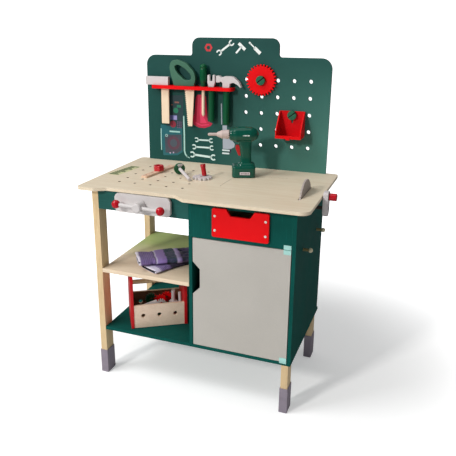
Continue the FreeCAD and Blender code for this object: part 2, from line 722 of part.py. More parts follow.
# ---------------------------------------------------------------------------------------------
# Vice
# ---------------------------------------------------------------------------------------------
JAW_FRONT = "0 - jaw_gap - jaw_thick"
jaw_holes = [(size.guide_apart / 2, 0, size.guide_radius), (-size.guide_apart / 2, 0, size.guide_radius),
             (0, 0, size.screw_radius + size.slack)]
finish("vice_jaw", plate("ViceJaw", "XZ_Plane",
                         rounded(-size.jaw_wide / 2, -size.jaw_high / 2, size.jaw_wide, size.jaw_high, 13),
                         "jaw_thick", "vice_across", JAW_FRONT, "vice_up", holes=jaw_holes))
finish("vice_guides", group("ViceGuides", [
    rod("ViceGuide%d" % number, across, JAW_FRONT, "vice_up", "guide_radius", "screw_long", "Y")
    for number, across in enumerate(guide_spots)
]))

hub = size.hub_radius
hub_stations = [
    (-size.hub_long, hub - 3), (-size.hub_long + 3, hub), (-2, hub), (-0.1, hub - 1.5),
    (-0.1, size.screw_radius), (size.screw_long - 4, size.screw_radius),
    (size.screw_long, size.screw_radius - 3),
]
HANDLE_Y = JAW_FRONT + " - hub_long / 2 - 6"
vice_screw = turned("ViceScrewBlank", "Y", hub_stations, "vice_across", JAW_FRONT, "vice_up")
ACROSS = Vector(0, 1, 0)
hole_rod = rod("HandleHoleRod", "-20", "0", "0", "handle_radius + slack", "40", "X")
handle_hole = put(group("HandleHole", [hole_rod]), "vice_across", HANDLE_Y, "vice_up")
handle_hole.Placement.Rotation = Rotation(ACROSS, size.handle_tilt)
finish("vice_screw", cut("ViceScrew", vice_screw, [handle_hole]))
nut_block = block("ViceNutBlank", "vice_across - 20", "apron_thick", "vice_up - 20", "40", "18", "40")
nut_bore = rod("ViceNutBore", "vice_across", "apron_thick - 1", "vice_up", "screw_radius + slack", "20",
               "Y")
finish("vice_nut", cut("ViceNut", nut_block, [nut_bore]))

# The handle hangs a little lower at its right end, and slides through the hub.
HANDLE = ("vice_across", HANDLE_Y, "vice_up", ACROSS, "handle_tilt")
HALF_HANDLE = "handle_long / 2"


def handle_rod(name):
    return rod(name, "0 - " + HALF_HANDLE, "0", "0", "handle_radius", "handle_long", "X")


finish("vice_handle", group("ViceHandle", [handle_rod("HandleRod")]), *HANDLE)


def handle_ball(name, across):
    """A ball bored from its inner side, pushed on to the end of the handle."""
    sphere = ball(name + "Blank", across, "0", "0", "ball_radius")
    return cut(name, sphere, [handle_rod(name + "Bore")])


finish("vice_handle_balls", group("ViceHandleBalls", [
    handle_ball("LeftBall", "0 - " + HALF_HANDLE),
    handle_ball("RightBall", HALF_HANDLE),
]), *HANDLE)

# ---------------------------------------------------------------------------------------------
# Bench saw, axle, crank arm, knob and the side pegs
# ---------------------------------------------------------------------------------------------


def saw_outline(count, outer, depth):
    """Raked saw teeth: a long back and a short face on each."""
    corners = []
    for index in range(count):
        start = 2 * math.pi * index / count
        corners.append(((outer - depth) * math.cos(start), (outer - depth) * math.sin(start), 0))
        tip = start + 2 * math.pi * 0.78 / count
        corners.append((outer * math.cos(tip), outer * math.sin(tip), 0))
    return corners


finish("bench_saw_blade", plate("BenchSawBlade", "YZ_Plane", saw_outline(44, size.saw_radius, 2.2),
                                "saw_thick", "saw_across", "saw_back", "saw_up",
                                holes=[(0, 0, size.axle_radius)]))
finish("saw_axle", rod("SawAxle", "saw_across - 8", "saw_back", "saw_up", "axle_radius",
                       "arm_left + arm_thick - saw_across + 8", "X"))


def crank_piece():
    """The arm: two round ends joined by straight flanks, bored for the axle and the knob's pin."""
    low = size.arm_radius
    throw = size.arm_throw
    foot = -low - size.arm_foot
    corners = [(-low, foot, low - 0.5), (low, foot, low - 0.5), (low, throw + low - 1, 7),
               (-low, throw + low - 1, 7)]
    holes = [(0, 0, size.axle_radius), (0, throw, 4 + size.slack)]
    return plate("CrankArm", "YZ_Plane", corners, "arm_thick", "arm_left", "saw_back", "saw_up",
                 holes=holes)


finish("crank_arm", crank_piece())
knob_reach = size.knob_end - size.arm_left - size.arm_thick
knob_stations = [(-size.arm_thick, 4), (0.3, 4), (0.3, 9.2), (1.3, 10), (knob_reach - 1.5, 10),
                 (knob_reach, 8.5)]
finish("crank_knob", turned("CrankKnob", "X", knob_stations, "arm_left + arm_thick", "saw_back",
                            "saw_up + arm_throw"))


def side_peg(name, back):
    shank = rod(name + "Shank", "frame_wide - 7", back, "side_peg_up", "side_peg_radius",
                "side_peg_out + 7", "X")
    head = ball(name + "Head", "frame_wide + side_peg_out", back, "side_peg_up", "side_peg_head")
    return fuse(name, [shank, head])


finish("side_pegs", group("SidePegs", [
    side_peg("SidePeg%d" % number, back) for number, back in enumerate(SIDE_PEG_Y)
]))

# ---------------------------------------------------------------------------------------------
# Tools in the rack
# ---------------------------------------------------------------------------------------------
RACK_TOP = "rack_low + rack_thick + 0.2"

stock_blank = block("StockBlank", "stock_left", "tool_plane - stock_thick / 2", RACK_TOP,
                    "stock_right - stock_left", "stock_thick", "stock_high")
rule_seat = block("RuleSeat", "rule_left", "tool_plane - rule_thick / 2", RACK_TOP,
                  "stock_right - rule_left", "rule_thick", "18")
finish("try_square_stock", cut("TrySquareStock", stock_blank, [rule_seat]))
finish("try_square_rule", block("TrySquareRule", "rule_left", "tool_plane - rule_thick / 2", "rule_low",
                                "stock_right - rule_left - 0.5", "rule_thick",
                                "rack_low + rack_thick + 0.2 + 18 - rule_low"))


def saw_grip():
    """The hand saw's closed grip: a leaning oval ring with a flat foot that holds the blade."""
    foot = size.rack_low + size.rack_thick + 0.2
    corners = [
        (104, foot, 4), (172, foot, 5), (179, foot + 22, 30), (174, foot + 44, 30),
        (148, foot + 70, 30), (116, foot + 81, 30), (94, foot + 76, 30), (89, foot + 54, 30),
        (96, foot + 26, 30),
    ]
    hole = [
        (108, foot + 52, 20), (108, foot + 63, 20), (120, foot + 65, 20), (142, foot + 54, 20),
        (162, foot + 36, 20), (164, foot + 22, 20), (154, foot + 17, 20), (140, foot + 19, 20),
        (120, foot + 36, 20),
    ]
    return plate("SawGrip", "XZ_Plane", corners, "saw_grip_thick",
                 y="tool_plane - saw_grip_thick / 2", windows=[hole])


def saw_blade_outline():
    top = size.rack_low + size.rack_thick + 12
    low = size.saw_blade_low
    right_low, right_top = 164.5, 173
    left_low, left_top = 148.5, 137
    notches = 18
    corners = [(right_low, low, 2), (right_top, top, 0), (left_top, top, 0)]
    span = size.rack_low - 4 - low
    for index in range(notches):
        up = size.rack_low - 4 - span * index / notches
        edge = left_low + (left_top - left_low) * (up - low) / (top - low)
        corners.append((edge, up, 0))
        corners.append((edge + 4.2, up - span / notches * 0.85, 0))
    corners.append((left_low, low, 0))
    return corners


grip_blank = saw_grip()
blade_seat = block("BladeSeat", "137", "tool_plane - saw_blade_thick / 2", RACK_TOP, "36.5",
                   "saw_blade_thick", "11.9")
finish("hand_saw_handle", cut("HandSawHandle", grip_blank, [blade_seat]))
finish("hand_saw_blade", plate("HandSawBlade", "XZ_Plane", saw_blade_outline(), "saw_blade_thick",
                               y="tool_plane - saw_blade_thick / 2"))

grip = size.driver_radius
foot = size.rack_low + size.rack_thick + 0.2
driver_stations = [
    (foot, 7.5), (foot + 10, 7.5), (foot + 15, grip - 1), (foot + 20, grip), (foot + 52, grip),
    (foot + 56, grip - 2), (foot + 60, grip), (foot + 64, grip - 0.5), (foot + 68, grip - 5),
    (foot + 69, 3),
]
driver_blank = turned("DriverGrip", "Z", driver_stations, "driver_across", "tool_plane")
driver_bore = rod("DriverBore", "driver_across", "tool_plane", RACK_TOP + " - 1", "driver_shaft", "31")
finish("screwdriver_handle", cut("ScrewdriverHandle", driver_blank, [driver_bore]))
shaft_low = size.driver_low
shaft_stations = [(shaft_low, 1.5), (shaft_low + 6, size.driver_shaft), (foot + 30, size.driver_shaft)]
finish("screwdriver_shaft", turned("ScrewdriverShaft", "Z", shaft_stations, "driver_across",
                                   "tool_plane"))


def wrench_outline():
    """An open jaw: two prongs round a flat-bottomed gap, on a solid cheek."""
    low = foot
    return [(-9, low, 3), (9, low, 3), (12.5, low + 14, 5), (12.5, low + 36, 4), (5, low + 38, 3),
            (4, low + 18, 2), (-4, low + 18, 2), (-5, low + 38, 3), (-12.5, low + 36, 4),
            (-12.5, low + 14, 5)]


finish("wrench_head", plate("WrenchHead", "XZ_Plane", wrench_outline(), "wrench_thick", "wrench_across",
                            "tool_plane - wrench_thick / 2"))
WRENCH_STATIONS = [(size.wrench_low, size.wrench_grip - 3), (size.wrench_low + 3, size.wrench_grip),
                   (foot - 0.1, size.wrench_grip)]
finish("wrench_handle", turned("WrenchHandle", "Z", WRENCH_STATIONS, "wrench_across", "tool_plane"))


def hammer_outline():
    """Side view of a claw hammer's head: face at the left, claws sweeping right and down."""
    low = foot
    return [
        (-32, low + 15, 1), (-22, low + 15, 2), (-16, low + 19, 5), (-11, low + 12, 4), (-11, low, 0),
        (11, low, 0), (12, low + 12, 4), (24, low + 16, 12), (38, low + 9, 14), (47, low + 1, 0),
        (49, low + 3, 0), (42, low + 18, 16), (23, low + 34, 24), (-4, low + 34, 10),
        (-16, low + 30, 6), (-22, low + 35, 2), (-32, low + 35, 1),
    ]


hammer_blank = plate("HammerHeadBlank", "XZ_Plane", hammer_outline(), "hammer_thick", "hammer_across",
                     "tool_plane - hammer_thick / 2")
claw_gap = plate("ClawGap", "XY_Plane", [(20, 0, 0), (60, -5, 0), (60, 5, 0)], "60",
                 "hammer_across", "tool_plane", RACK_TOP + " - 2")
finish("hammer_head", cut("HammerHead", hammer_blank, [claw_gap]))
HAMMER_STATIONS = [(size.hammer_low, size.hammer_grip - 2.5), (size.hammer_low + 2.5, size.hammer_grip),
                   (foot - 0.1, size.hammer_grip)]
finish("hammer_handle", turned("HammerHandle", "Z", HAMMER_STATIONS, "hammer_across", "tool_plane"))

# ---------------------------------------------------------------------------------------------
# Drill: laid out round its own handle, then turned and stood on the worktop
# ---------------------------------------------------------------------------------------------
STAND = TOP + " + loose_gap"
barrel = size.barrel_radius
barrel_stations = [
    (-42, 14), (-41, 17.5), (-32, 20), (-22, barrel - 1.5), (-10, barrel), (12, barrel),
    (23, barrel - 2), (32, barrel - 6), (38.5, barrel - 11), (42, barrel - 16), (43.5, 4),
]
barrel_piece = turned("DrillBarrel", "X", barrel_stations, z="drill_axis")
grip_corners = [
    (-15, 30, 3), (27, 30, 3), (22.5, 60, 30), (24, 122, 4), (-24, 122, 4),
    (-17, 100, 8), (-10.5, 64, 30),
]
grip_piece = plate("DrillGrip", "XZ_Plane", grip_corners, "30", y="-15")
battery_piece = plate("DrillBattery", "XY_Plane",
                      rounded(-size.battery_wide / 2, -size.battery_deep / 2, size.battery_wide,
                              size.battery_deep, 9), "battery_high")
neck_piece = plate("DrillNeck", "XY_Plane", rounded(-16, -18, 48, 36, 9), "6", z="battery_high - 1")
trigger_slot = block("TriggerSlot", "-36", "-6", "62", "32", "12", "36")
chuck_seat = rod("ChuckSeat", "-44", "0", "drill_axis", "6 + slack", "14", "X")
drill_blank = cut("DrillBlank", fuse("DrillSolid", [barrel_piece, grip_piece, battery_piece, neck_piece]),
                  [trigger_slot, chuck_seat])
near_half = block("NearHalf", "-80", "-60", "-5", "160", "60", "200")
far_half = block("FarHalf", "-80", "0", "-5", "160", "60", "200")
finish("drill_shells", group("DrillShells", [
    common("NearShell", drill_blank, near_half),
    common("FarShell", drill_blank, far_half),
]), "drill_across", "drill_back", STAND, UP, "drill_turn")

chuck = size.chuck_radius
chuck_stations = [
    (-107, 1.5), (-104, size.bit_radius), (-80, size.bit_radius), (-80, 6), (-76, 8), (-69, 10.5),
    (-67, chuck - 1.5), (-60, chuck - 1.2), (-49, chuck), (-45, chuck), (-43, chuck - 2.5), (-43, 6),
    (-31, 6),
]
chuck_piece = turned("DrillChuckTurned", "X", chuck_stations, z="drill_axis")
finish("drill_chuck", group("DrillChuck", [chuck_piece]), "drill_across", "drill_back", STAND, UP,
       "drill_turn")
trigger_corners = [(-16, 64, 3), (-8, 64, 0), (-8, 96, 0), (-24, 96, 3), (-25, 86, 8)]
trigger_piece = plate("DrillTriggerCut", "XZ_Plane", trigger_corners, "11.6", y="-5.8")
finish("drill_trigger", group("DrillTrigger", [trigger_piece]), "drill_across", "drill_back", STAND, UP,
       "drill_turn")

# ---------------------------------------------------------------------------------------------
# Toolbox: laid out square, then turned on the bottom board
# ---------------------------------------------------------------------------------------------


def crate_end(name, across):
    deep = size.crate_deep
    high = size.crate_high
    corners = [(0, 0, 2), (deep, 0, 2), (deep, high, 16), (0, high, 16)]
    holes = [(deep / 2, size.crate_rod_up, size.crate_rod)]
    return plate(name, "YZ_Plane", corners, "crate_wall", across, holes=holes)


CRATE_LOW = BASE_TOP + " + loose_gap"
CRATE = ("crate_across", "crate_back", CRATE_LOW, UP, "crate_turn")
finish("toolbox_ends", group("ToolboxEnds", [
    crate_end("LeftEnd", "0"),
    crate_end("RightEnd", "crate_long - crate_wall"),
]), *CRATE)

hole_step = (size.crate_long - 2 * size.crate_wall) / 2 - 28
front_holes = []
for number in range(-1, 2):
    front_holes.append((size.crate_long / 2 + number * hole_step, size.crate_board / 2 + 3, 6.5))
board_left = size.crate_wall
board_span = size.crate_long - 2 * size.crate_wall
long_board = [(board_left, 1, 0), (board_left + board_span, 1, 0),
              (board_left + board_span, size.crate_board, 0), (board_left, size.crate_board, 0)]
finish("toolbox_boards", group("ToolboxBoards", [
    plate("CrateFront", "XZ_Plane", long_board, "8", y="1.5", holes=front_holes),
    plate("CrateBack", "XZ_Plane", long_board, "8", y="crate_deep - 9.5", holes=front_holes),
    block("CrateFloor", "crate_wall", "9.5", "1", "crate_long - 2 * crate_wall", "crate_deep - 19", "6"),
]), *CRATE)
rod_piece = rod("CrateRod", "0", "crate_deep / 2", "crate_rod_up", "crate_rod", "crate_long", "X")
finish("toolbox_handle", group("ToolboxHandle", [rod_piece]), *CRATE)


def hex_nut(name, x, y, z, radius=14, thick="12"):
    return plate(name, "XY_Plane", hex_corners(radius), thick, x, y, z, holes=[(0, 0, 6)])


def short_bolt(name, x, y, z, long):
    """A bolt standing on its round head."""
    return fuse(name, [rod(name + "Head", x, y, z, "15", "8"),
                       rod(name + "Shank", x, y, z + " + 8", "5", long)])


def nut_stack(name, x, y, count):
    """Hex nuts piled flat on the box's floor."""
    pile = []
    for number in range(count):
        pile.append(hex_nut(name + "Nut" + str(number), x, y, "7 + " + str(number * 12.1), 12))
    return pile


def upright_wheel(name, x, y, z, radius, count):
    """A toothed wheel standing on its rim, its axis along the box's depth."""
    return plate(name, "XZ_Plane", teeth(count, radius, radius - 4), "8", x, y, z, holes=[(0, 0, 5)])


inside = "7"
contents = [
    short_bolt("GreenBoltA", "28", "40", inside, "40"),
    upright_wheel("GreenWheel", "68", "66", "63", 19, 14),
    upright_wheel("RedWheelA", "97", "56", "62", 18, 12),
    upright_wheel("RedWheelB", "118", "72", "62", 18, 12),
    upright_wheel("GreyWheel", "97", "38", "58", 14, 12),
    fuse("TallBolt", [
        rod("TallBoltShank", "136", "52", inside, "6", "87"),
        plate("TallBoltWheel", "XY_Plane", teeth(12, 13, 10), "8", "136", "52", "50"),
    ]),
]
for pile_name, pile_x, pile_y, pile_count in (("PileA", "68", "62", 3), ("PileB", "97", "60", 3),
                                               ("PileC", "122", "82", 3), ("PileD", "97", "34", 3)):
    contents.extend(nut_stack(pile_name, pile_x, pile_y, pile_count))
pale_bar = block("PaleBar", "20", "13", "52", "66", "7", "11")
pale_bar.Placement.Rotation = Rotation(Vector(0, 1, 0), -18)
contents.append(pale_bar)
short_rod = rod("ShortRod", "157", "36", "9", "5", "78")
short_rod.Placement.Rotation = Rotation(Vector(1, 0, 0), -15)
contents.append(short_rod)
finish("toolbox_contents", group("ToolboxContents", contents), *CRATE)

# ---------------------------------------------------------------------------------------------
# Loose bits on the worktop
# ---------------------------------------------------------------------------------------------
strip_holes = []
for number in range(5):
    strip_holes.append((0, 16 + number * 32, 5))
strip_half = size.strip_wide / 2
strip_corners = [(-strip_half, 0, 3), (strip_half, 0, 3), (strip_half, size.strip_long, 3),
                 (-strip_half, size.strip_long, 3)]
strip_piece = plate("StripCut", "XY_Plane", strip_corners, "strip_thick", holes=strip_holes)
STRIP = ("strip_across", "strip_back", STAND, UP, "strip_turn")
finish("perforated_strip", group("PerforatedStrip", [strip_piece]), *STRIP)
nut_piece = plate("StripNutCut", "XY_Plane", hex_corners(size.nut_radius, 12), "nut_high", "0", "80",
                  "strip_thick + 0.05", holes=[(0, 0, 6)])
finish("strip_nut", group("StripNut", [nut_piece]), *STRIP)

tilt = math.degrees(math.asin((size.disc_radius - size.disc_rod) / size.disc_rod_long))
disc_piece = fuse("DiscBoltSolid", [
    rod("DiscHead", "0 - disc_thick", "0", "0", "disc_radius", "disc_thick", "X"),
    rod("DiscShank", "0", "0", "0", "disc_rod", "disc_rod_long", "X"),
])
disc_group = group("DiscBolt", [disc_piece])
disc_group.Placement.Rotation = Rotation(Vector(0, 0, 1), -47).multiply(Rotation(Vector(0, 1, 0), tilt))
finish("disc_bolt", disc_group, "188", "200", STAND + " + disc_radius * 1.05")

spur_piece = plate("SpurWheel", "XY_Plane", teeth(12, size.spur_radius, size.spur_radius - 6),
                   "spur_thick", holes=[(0, 0, 6)])
finish("spur_wheel", group("SpurWheelNode", [spur_piece]), "spur_across", "spur_back", STAND)
red_bolt = fuse("RedBoltSolid", [
    rod("RedBoltShank", "0", "0", "0", "7", "30"),
    plate("RedBoltHead", "XY_Plane", hex_corners(9), "8", z="26"),
])
finish("red_bolt", group("RedBolt", [red_bolt]), "spur_across + 4", "spur_back + 8",
       STAND + " + spur_thick + 1.4", Vector(0, 1, 0), "-10")

# ---------------------------------------------------------------------------------------------
# Gloves: two plain pads stand for the pair, one thrown across the other
# ---------------------------------------------------------------------------------------------


def glove(name, along, deep, low, angle, wide, thick):
    """One glove as a flat pad, its cuff's middle at (along, deep) and its fingers at the angle."""
    edge = [(0, -wide / 2, 6), (size.glove_long, -wide / 2, 26), (size.glove_long, wide / 2, 26),
            (0, wide / 2, 6)]
    pad = plate(name, "XY_Plane", edge, thick, along, deep, low)
    pad.Placement.Rotation = Rotation(UP, angle)
    return pad


SHELF_STAND = SHELF_TOP + " + loose_gap"
finish("work_gloves", group("WorkGloves", [
    glove("LowerGlove", "154", "25", SHELF_STAND, 62, size.glove_wide, "glove_thick"),
    glove("UpperGlove", "104", "52", SHELF_STAND + " + glove_thick + 0.2", 35, size.upper_glove_wide,
          "upper_glove_thick"),
]))

# ---------------------------------------------------------------------------------------------
# Recompute, check and export
# ---------------------------------------------------------------------------------------------
doc.recompute()
faults = []
for thing in doc.Objects:
    if "Invalid" in thing.State or "Error" in thing.State:
        faults.append(thing.Name)
for node, thing in finished.items():
    shape = thing.Shape
    if shape.isNull() or not shape.isValid() or not shape.Solids or shape.Volume <= 0:
        faults.append(node)
        continue
    print("%-20s solids %2d  volume %10.1f  box %s" % (
        node, len(shape.Solids), shape.Volume,
        " ".join("%.1f" % edge for edge in (
            shape.BoundBox.XMin, shape.BoundBox.XMax, shape.BoundBox.YMin, shape.BoundBox.YMax,
            shape.BoundBox.ZMin, shape.BoundBox.ZMax))))
    shape.exportStep("parts/%s.step" % node)
if faults:
    raise RuntimeError("faulty objects: " + ", ".join(faults))
print("pieces", len(finished))
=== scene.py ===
"""The looks of a child's tool bench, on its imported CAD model.

Blender's lengths are metres.  Layout lengths are millimetres; at() turns them into the model's frame.
"""
import math

import bmesh
import bpy
from mathutils import Matrix, Vector, noise


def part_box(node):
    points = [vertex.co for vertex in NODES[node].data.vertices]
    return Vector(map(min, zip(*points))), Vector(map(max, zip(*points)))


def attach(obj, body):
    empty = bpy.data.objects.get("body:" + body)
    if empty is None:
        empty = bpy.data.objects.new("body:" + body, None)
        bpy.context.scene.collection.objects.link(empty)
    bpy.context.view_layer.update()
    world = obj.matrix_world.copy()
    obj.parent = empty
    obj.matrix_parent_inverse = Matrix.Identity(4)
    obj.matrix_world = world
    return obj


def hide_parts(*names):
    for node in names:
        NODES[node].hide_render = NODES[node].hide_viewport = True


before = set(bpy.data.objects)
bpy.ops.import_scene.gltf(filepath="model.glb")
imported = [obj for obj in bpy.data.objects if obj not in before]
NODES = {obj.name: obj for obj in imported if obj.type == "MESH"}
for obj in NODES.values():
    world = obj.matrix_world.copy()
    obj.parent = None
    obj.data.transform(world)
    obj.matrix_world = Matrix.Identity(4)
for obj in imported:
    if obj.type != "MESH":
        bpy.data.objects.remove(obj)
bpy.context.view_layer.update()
MM = 0.001
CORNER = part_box("left_legs")[0]


def at(x, y, z):
    """A point given in millimetres from the front left leg's outer corner, on the floor."""
    return Vector((CORNER.x + x * MM, CORNER.y + y * MM, z * MM))


# ---- Materials ----
def tone(code):
    """A linear colour from a hex code."""
    parts = [int(code[index:index + 2], 16) / 255 for index in (1, 3, 5)]
    linear = [part / 12.92 if part <= 0.04045 else ((part + 0.055) / 1.055) ** 2.4 for part in parts]
    return (*linear, 1.0)


def shade(colour, factor):
    """A colour made lighter or darker."""
    return (*[min(1.0, part * factor) for part in colour[:3]], 1.0)


EDGE_FLAT = 0.05
EDGE_SHARP = 0.3


class Finish:
    """Builds one node material."""

    def __init__(self, name):
        self.material = bpy.data.materials.new(name)
        self.material.use_nodes = True
        self.tree = self.material.node_tree
        self.tree.nodes.clear()
        self.out = self.add("ShaderNodeOutputMaterial")
        self.shader = self.add("ShaderNodeBsdfPrincipled")
        self.tree.links.new(self.shader.outputs["BSDF"], self.out.inputs["Surface"])

    def add(self, kind, sockets=None, **settings):
        """A new node with its inputs and settings filled in."""
        node = self.tree.nodes.new(kind)
        for key, value in settings.items():
            setattr(node, key, value)
        for key, value in (sockets or {}).items():
            self.feed(node, key, value)
        return node

    def feed(self, node, key, value):
        """Sets an input to a plain value or links it to another node's output."""
        if isinstance(value, bpy.types.NodeSocket):
            self.tree.links.new(value, node.inputs[key])
        else:
            node.inputs[key].default_value = value

    def place(self, stretch=(1, 1, 1), turn=(0, 0, 0)):
        """Coordinates fixed to the piece, in metres, stretched."""
        where = self.add("ShaderNodeTexCoord").outputs["Object"]
        sockets = {"Vector": where, "Scale": stretch, "Rotation": turn}
        return self.add("ShaderNodeMapping", sockets).outputs["Vector"]

    def noise(self, vector, scale, detail=3.0, rough=0.5, distort=0.0):
        """Soft random clouds between 0 and 1."""
        sockets = {"Vector": vector, "Scale": scale, "Detail": detail, "Roughness": rough,
                   "Distortion": distort}
        return self.add("ShaderNodeTexNoise", sockets).outputs["Fac"]

    def ramp(self, value, stops):
        """Turns a value into colours, or into greys when the stops hold plain numbers."""
        node = self.add("ShaderNodeValToRGB", {"Fac": value})
        band = node.color_ramp
        while len(band.elements) < len(stops):
            band.elements.new(0.5)
        for element, (spot, colour) in zip(band.elements, stops):
            element.position = spot
            element.color = colour if not isinstance(colour, float) else (colour, colour, colour, 1)
        return node.outputs["Color"]

    def span(self, value, low, high):
        """0 where the value is low, 1 where it is high."""
        sockets = {"Value": value, "From Min": low, "From Max": high}
        return self.add("ShaderNodeMapRange", sockets).outputs["Result"]

    def axes(self, vector):
        """The three parts of a vector."""
        return self.add("ShaderNodeSeparateXYZ", {0: vector}).outputs

    def mix(self, share, first, second):
        """The first colour where share is 0, the second where it is 1."""
        node = self.add("ShaderNodeMix", data_type="RGBA")
        self.feed(node, 0, share)
        self.feed(node, 6, first)
        self.feed(node, 7, second)
        return node.outputs[2]

    def sums(self, kind, first, second=0.5, third=0.5):
        """One step of arithmetic."""
        node = self.add("ShaderNodeMath", operation=kind)
        self.feed(node, 0, first)
        self.feed(node, 1, second)
        self.feed(node, 2, third)
        return node.outputs[0]

    def edge(self, width):
        """1 along sharp edges, 0 on flats."""
        soft = self.add("ShaderNodeBevel", {"Radius": width}, samples=4).outputs["Normal"]
        hard = self.add("ShaderNodeNewGeometry").outputs["Normal"]
        node = self.add("ShaderNodeVectorMath", {0: soft, 1: hard}, operation="DOT_PRODUCT")
        turned = self.sums("SUBTRACT", 1.0, node.outputs["Value"])
        return self.ramp(turned, [(EDGE_FLAT, 0.0), (EDGE_SHARP, 1.0)])

    def bump(self, height, strength, depth, normal=None):
        """Fine relief, laid over an earlier one if given."""
        sockets = {"Height": height, "Strength": strength, "Distance": depth}
        if normal is not None:
            sockets["Normal"] = normal
        return self.add("ShaderNodeBump", sockets).outputs["Normal"]

    def done(self, colour, rough, normal=None, **more):
        """Fills the shader's inputs and returns the material."""
        self.feed(self.shader, "Base Color", colour)
        self.feed(self.shader, "Roughness", rough)
        if normal is not None:
            self.feed(self.shader, "Normal", normal)
        for key, value in more.items():
            self.feed(self.shader, key.replace("_", " "), value)
        return self.material


def stretched(slow, fast):
    """Noise scales that are slow along the grain's own direction and fast across it."""
    return {"X": (slow, fast, fast), "Y": (fast, slow, fast), "Z": (fast, fast, slow)}


GRAIN = stretched(5, 70)
RINGS = stretched(1.2, 14)
PLY_BANDS = 330.0
UPRIGHT_LIMIT = 0.6
# Where the board's painted reflection lies: left to right and high to low, in metres.
REFLECTION_LEFT, REFLECTION_RIGHT = -0.12, 0.3
REFLECTION_HIGH, REFLECTION_LOW = 0.98, 0.7
WEAR_WIDTH = 0.0016


def wood(name, pale, dark, axis, rough, contrast, ply=0.0, painted_bounce=None):
    """Planed wood: soft rings, fibres and pores.

    ply is the strength of the layers drawn on upright edges; painted_bounce is a colour, with its front
    and rear, painted over the rear as painted green reflected light and shade.
    """
    f = Finish(name)
    base = tone(pale)
    deep = tone(dark)
    rings = f.noise(f.place(RINGS[axis]), 2.2, 4.0, 0.55, 1.3)
    waves = f.sums("PINGPONG", f.sums("MULTIPLY", rings, 7.0), 1.0)
    fibres = f.noise(f.place(GRAIN[axis]), 6.0, 5.0, 0.65)
    pores = f.noise(f.place(GRAIN[axis]), 16.0, 2.0, 0.5)
    blotch = f.noise(f.place((6, 6, 6)), 1.0, 2.0, 0.5)
    colour = f.mix(f.sums("MULTIPLY", waves, 0.42 * contrast), base, deep)
    colour = f.mix(f.ramp(fibres, [(0.35, 0.0), (0.75, contrast * 0.55)]), colour, deep)
    colour = f.mix(f.ramp(pores, [(0.66, 0.0), (0.78, contrast * 0.5)]), colour, shade(deep, 0.7))
    colour = f.mix(f.ramp(blotch, [(0.35, 0.0), (0.75, 0.25)]), colour, shade(base, 1.12))
    # Painted green reflected light and shade, stronger towards the rear.
    if painted_bounce:
        code, front, rear = painted_bounce
        share = f.span(f.axes(f.place())["Y"], front, rear)
        colour = f.mix(share, colour, f.mix(0.75, colour, tone(code)))
    if ply > 0:
        bands = f.sums("PINGPONG", f.sums("MULTIPLY", f.axes(f.place())["Z"], PLY_BANDS), 0.5)
        facing = f.axes(f.add("ShaderNodeNewGeometry").outputs["Normal"])["Z"]
        upright = f.sums("LESS_THAN", f.sums("ABSOLUTE", facing), UPRIGHT_LIMIT)
        dark_band = f.ramp(bands, [(0.3, 0.0), (0.42, ply)])
        colour = f.mix(f.sums("MULTIPLY", dark_band, upright), colour, shade(deep, 0.8))
    relief = f.bump(fibres, 0.22, 0.0006)
    relief = f.bump(pores, 0.1, 0.0004, relief)
    glossy = f.ramp(fibres, [(0.3, rough - 0.06), (0.7, rough + 0.1)])
    return f.done(colour, glossy, relief, Coat_Weight=0.12, Coat_Roughness=0.25)


def painted(name, code, rough, peel, wear, streak=None, gloss=0.3, mottle=0.12, painted_reflection=None):
    """Rolled paint: mottling, orange peel and edges rubbed to the wear colour.

    streak is the direction of brush lines; painted_reflection is a lighter colour painted low on the
    right as a painted reflection.
    """
    f = Finish(name)
    base = tone(code)
    cloud = f.noise(f.place((7, 7, 7)), 1.0, 3.0, 0.6)
    clouds = f.ramp(cloud, [(0.3, 0.0), (0.75, 1.0)])
    colour = f.mix(clouds, shade(base, 1 - mottle), shade(base, 1 + mottle))
    # A lighter tone painted low on the right: a painted reflection.
    if painted_reflection:
        spot = f.axes(f.place())
        side = f.span(spot["X"], REFLECTION_LEFT, REFLECTION_RIGHT)
        share = f.sums("MULTIPLY", side, f.span(spot["Z"], REFLECTION_HIGH, REFLECTION_LOW))
        colour = f.mix(share, colour, tone(painted_reflection))
    if streak:
        lines = f.noise(f.place(GRAIN[streak]), 5.0, 4.0, 0.6)
        colour = f.mix(f.ramp(lines, [(0.45, 0.0), (0.8, 0.3)]), colour, shade(base, 0.72))
        pale_lines = f.noise(f.place(GRAIN[streak]), 3.0, 3.0, 0.6)
        colour = f.mix(f.ramp(pale_lines, [(0.56, 0.0), (0.74, 0.35)]), colour, shade(base, 1.7))
    grit = f.noise(f.place(), 420.0, 2.0, 0.6)
    colour = f.mix(f.ramp(grit, [(0.55, 0.0), (0.8, 0.16)]), colour, shade(base, 1.5))
    chips = f.noise(f.place(), 60.0, 4.0, 0.7)
    worn = f.sums("MULTIPLY", f.edge(WEAR_WIDTH), f.ramp(chips, [(0.42, 0.0), (0.68, 1.0)]))
    colour = f.mix(f.sums("MULTIPLY", worn, 0.9), colour, tone(wear))
    skin = f.noise(f.place(), 160.0, 3.0, 0.55)
    relief = f.bump(skin, 0.18 * peel, 0.0009)
    relief = f.bump(grit, 0.06 * peel, 0.0004, relief)
    glossy = f.ramp(cloud, [(0.3, rough - 0.05), (0.7, rough + 0.07)])
    return f.done(colour, glossy, relief, Specular_IOR_Level=gloss)


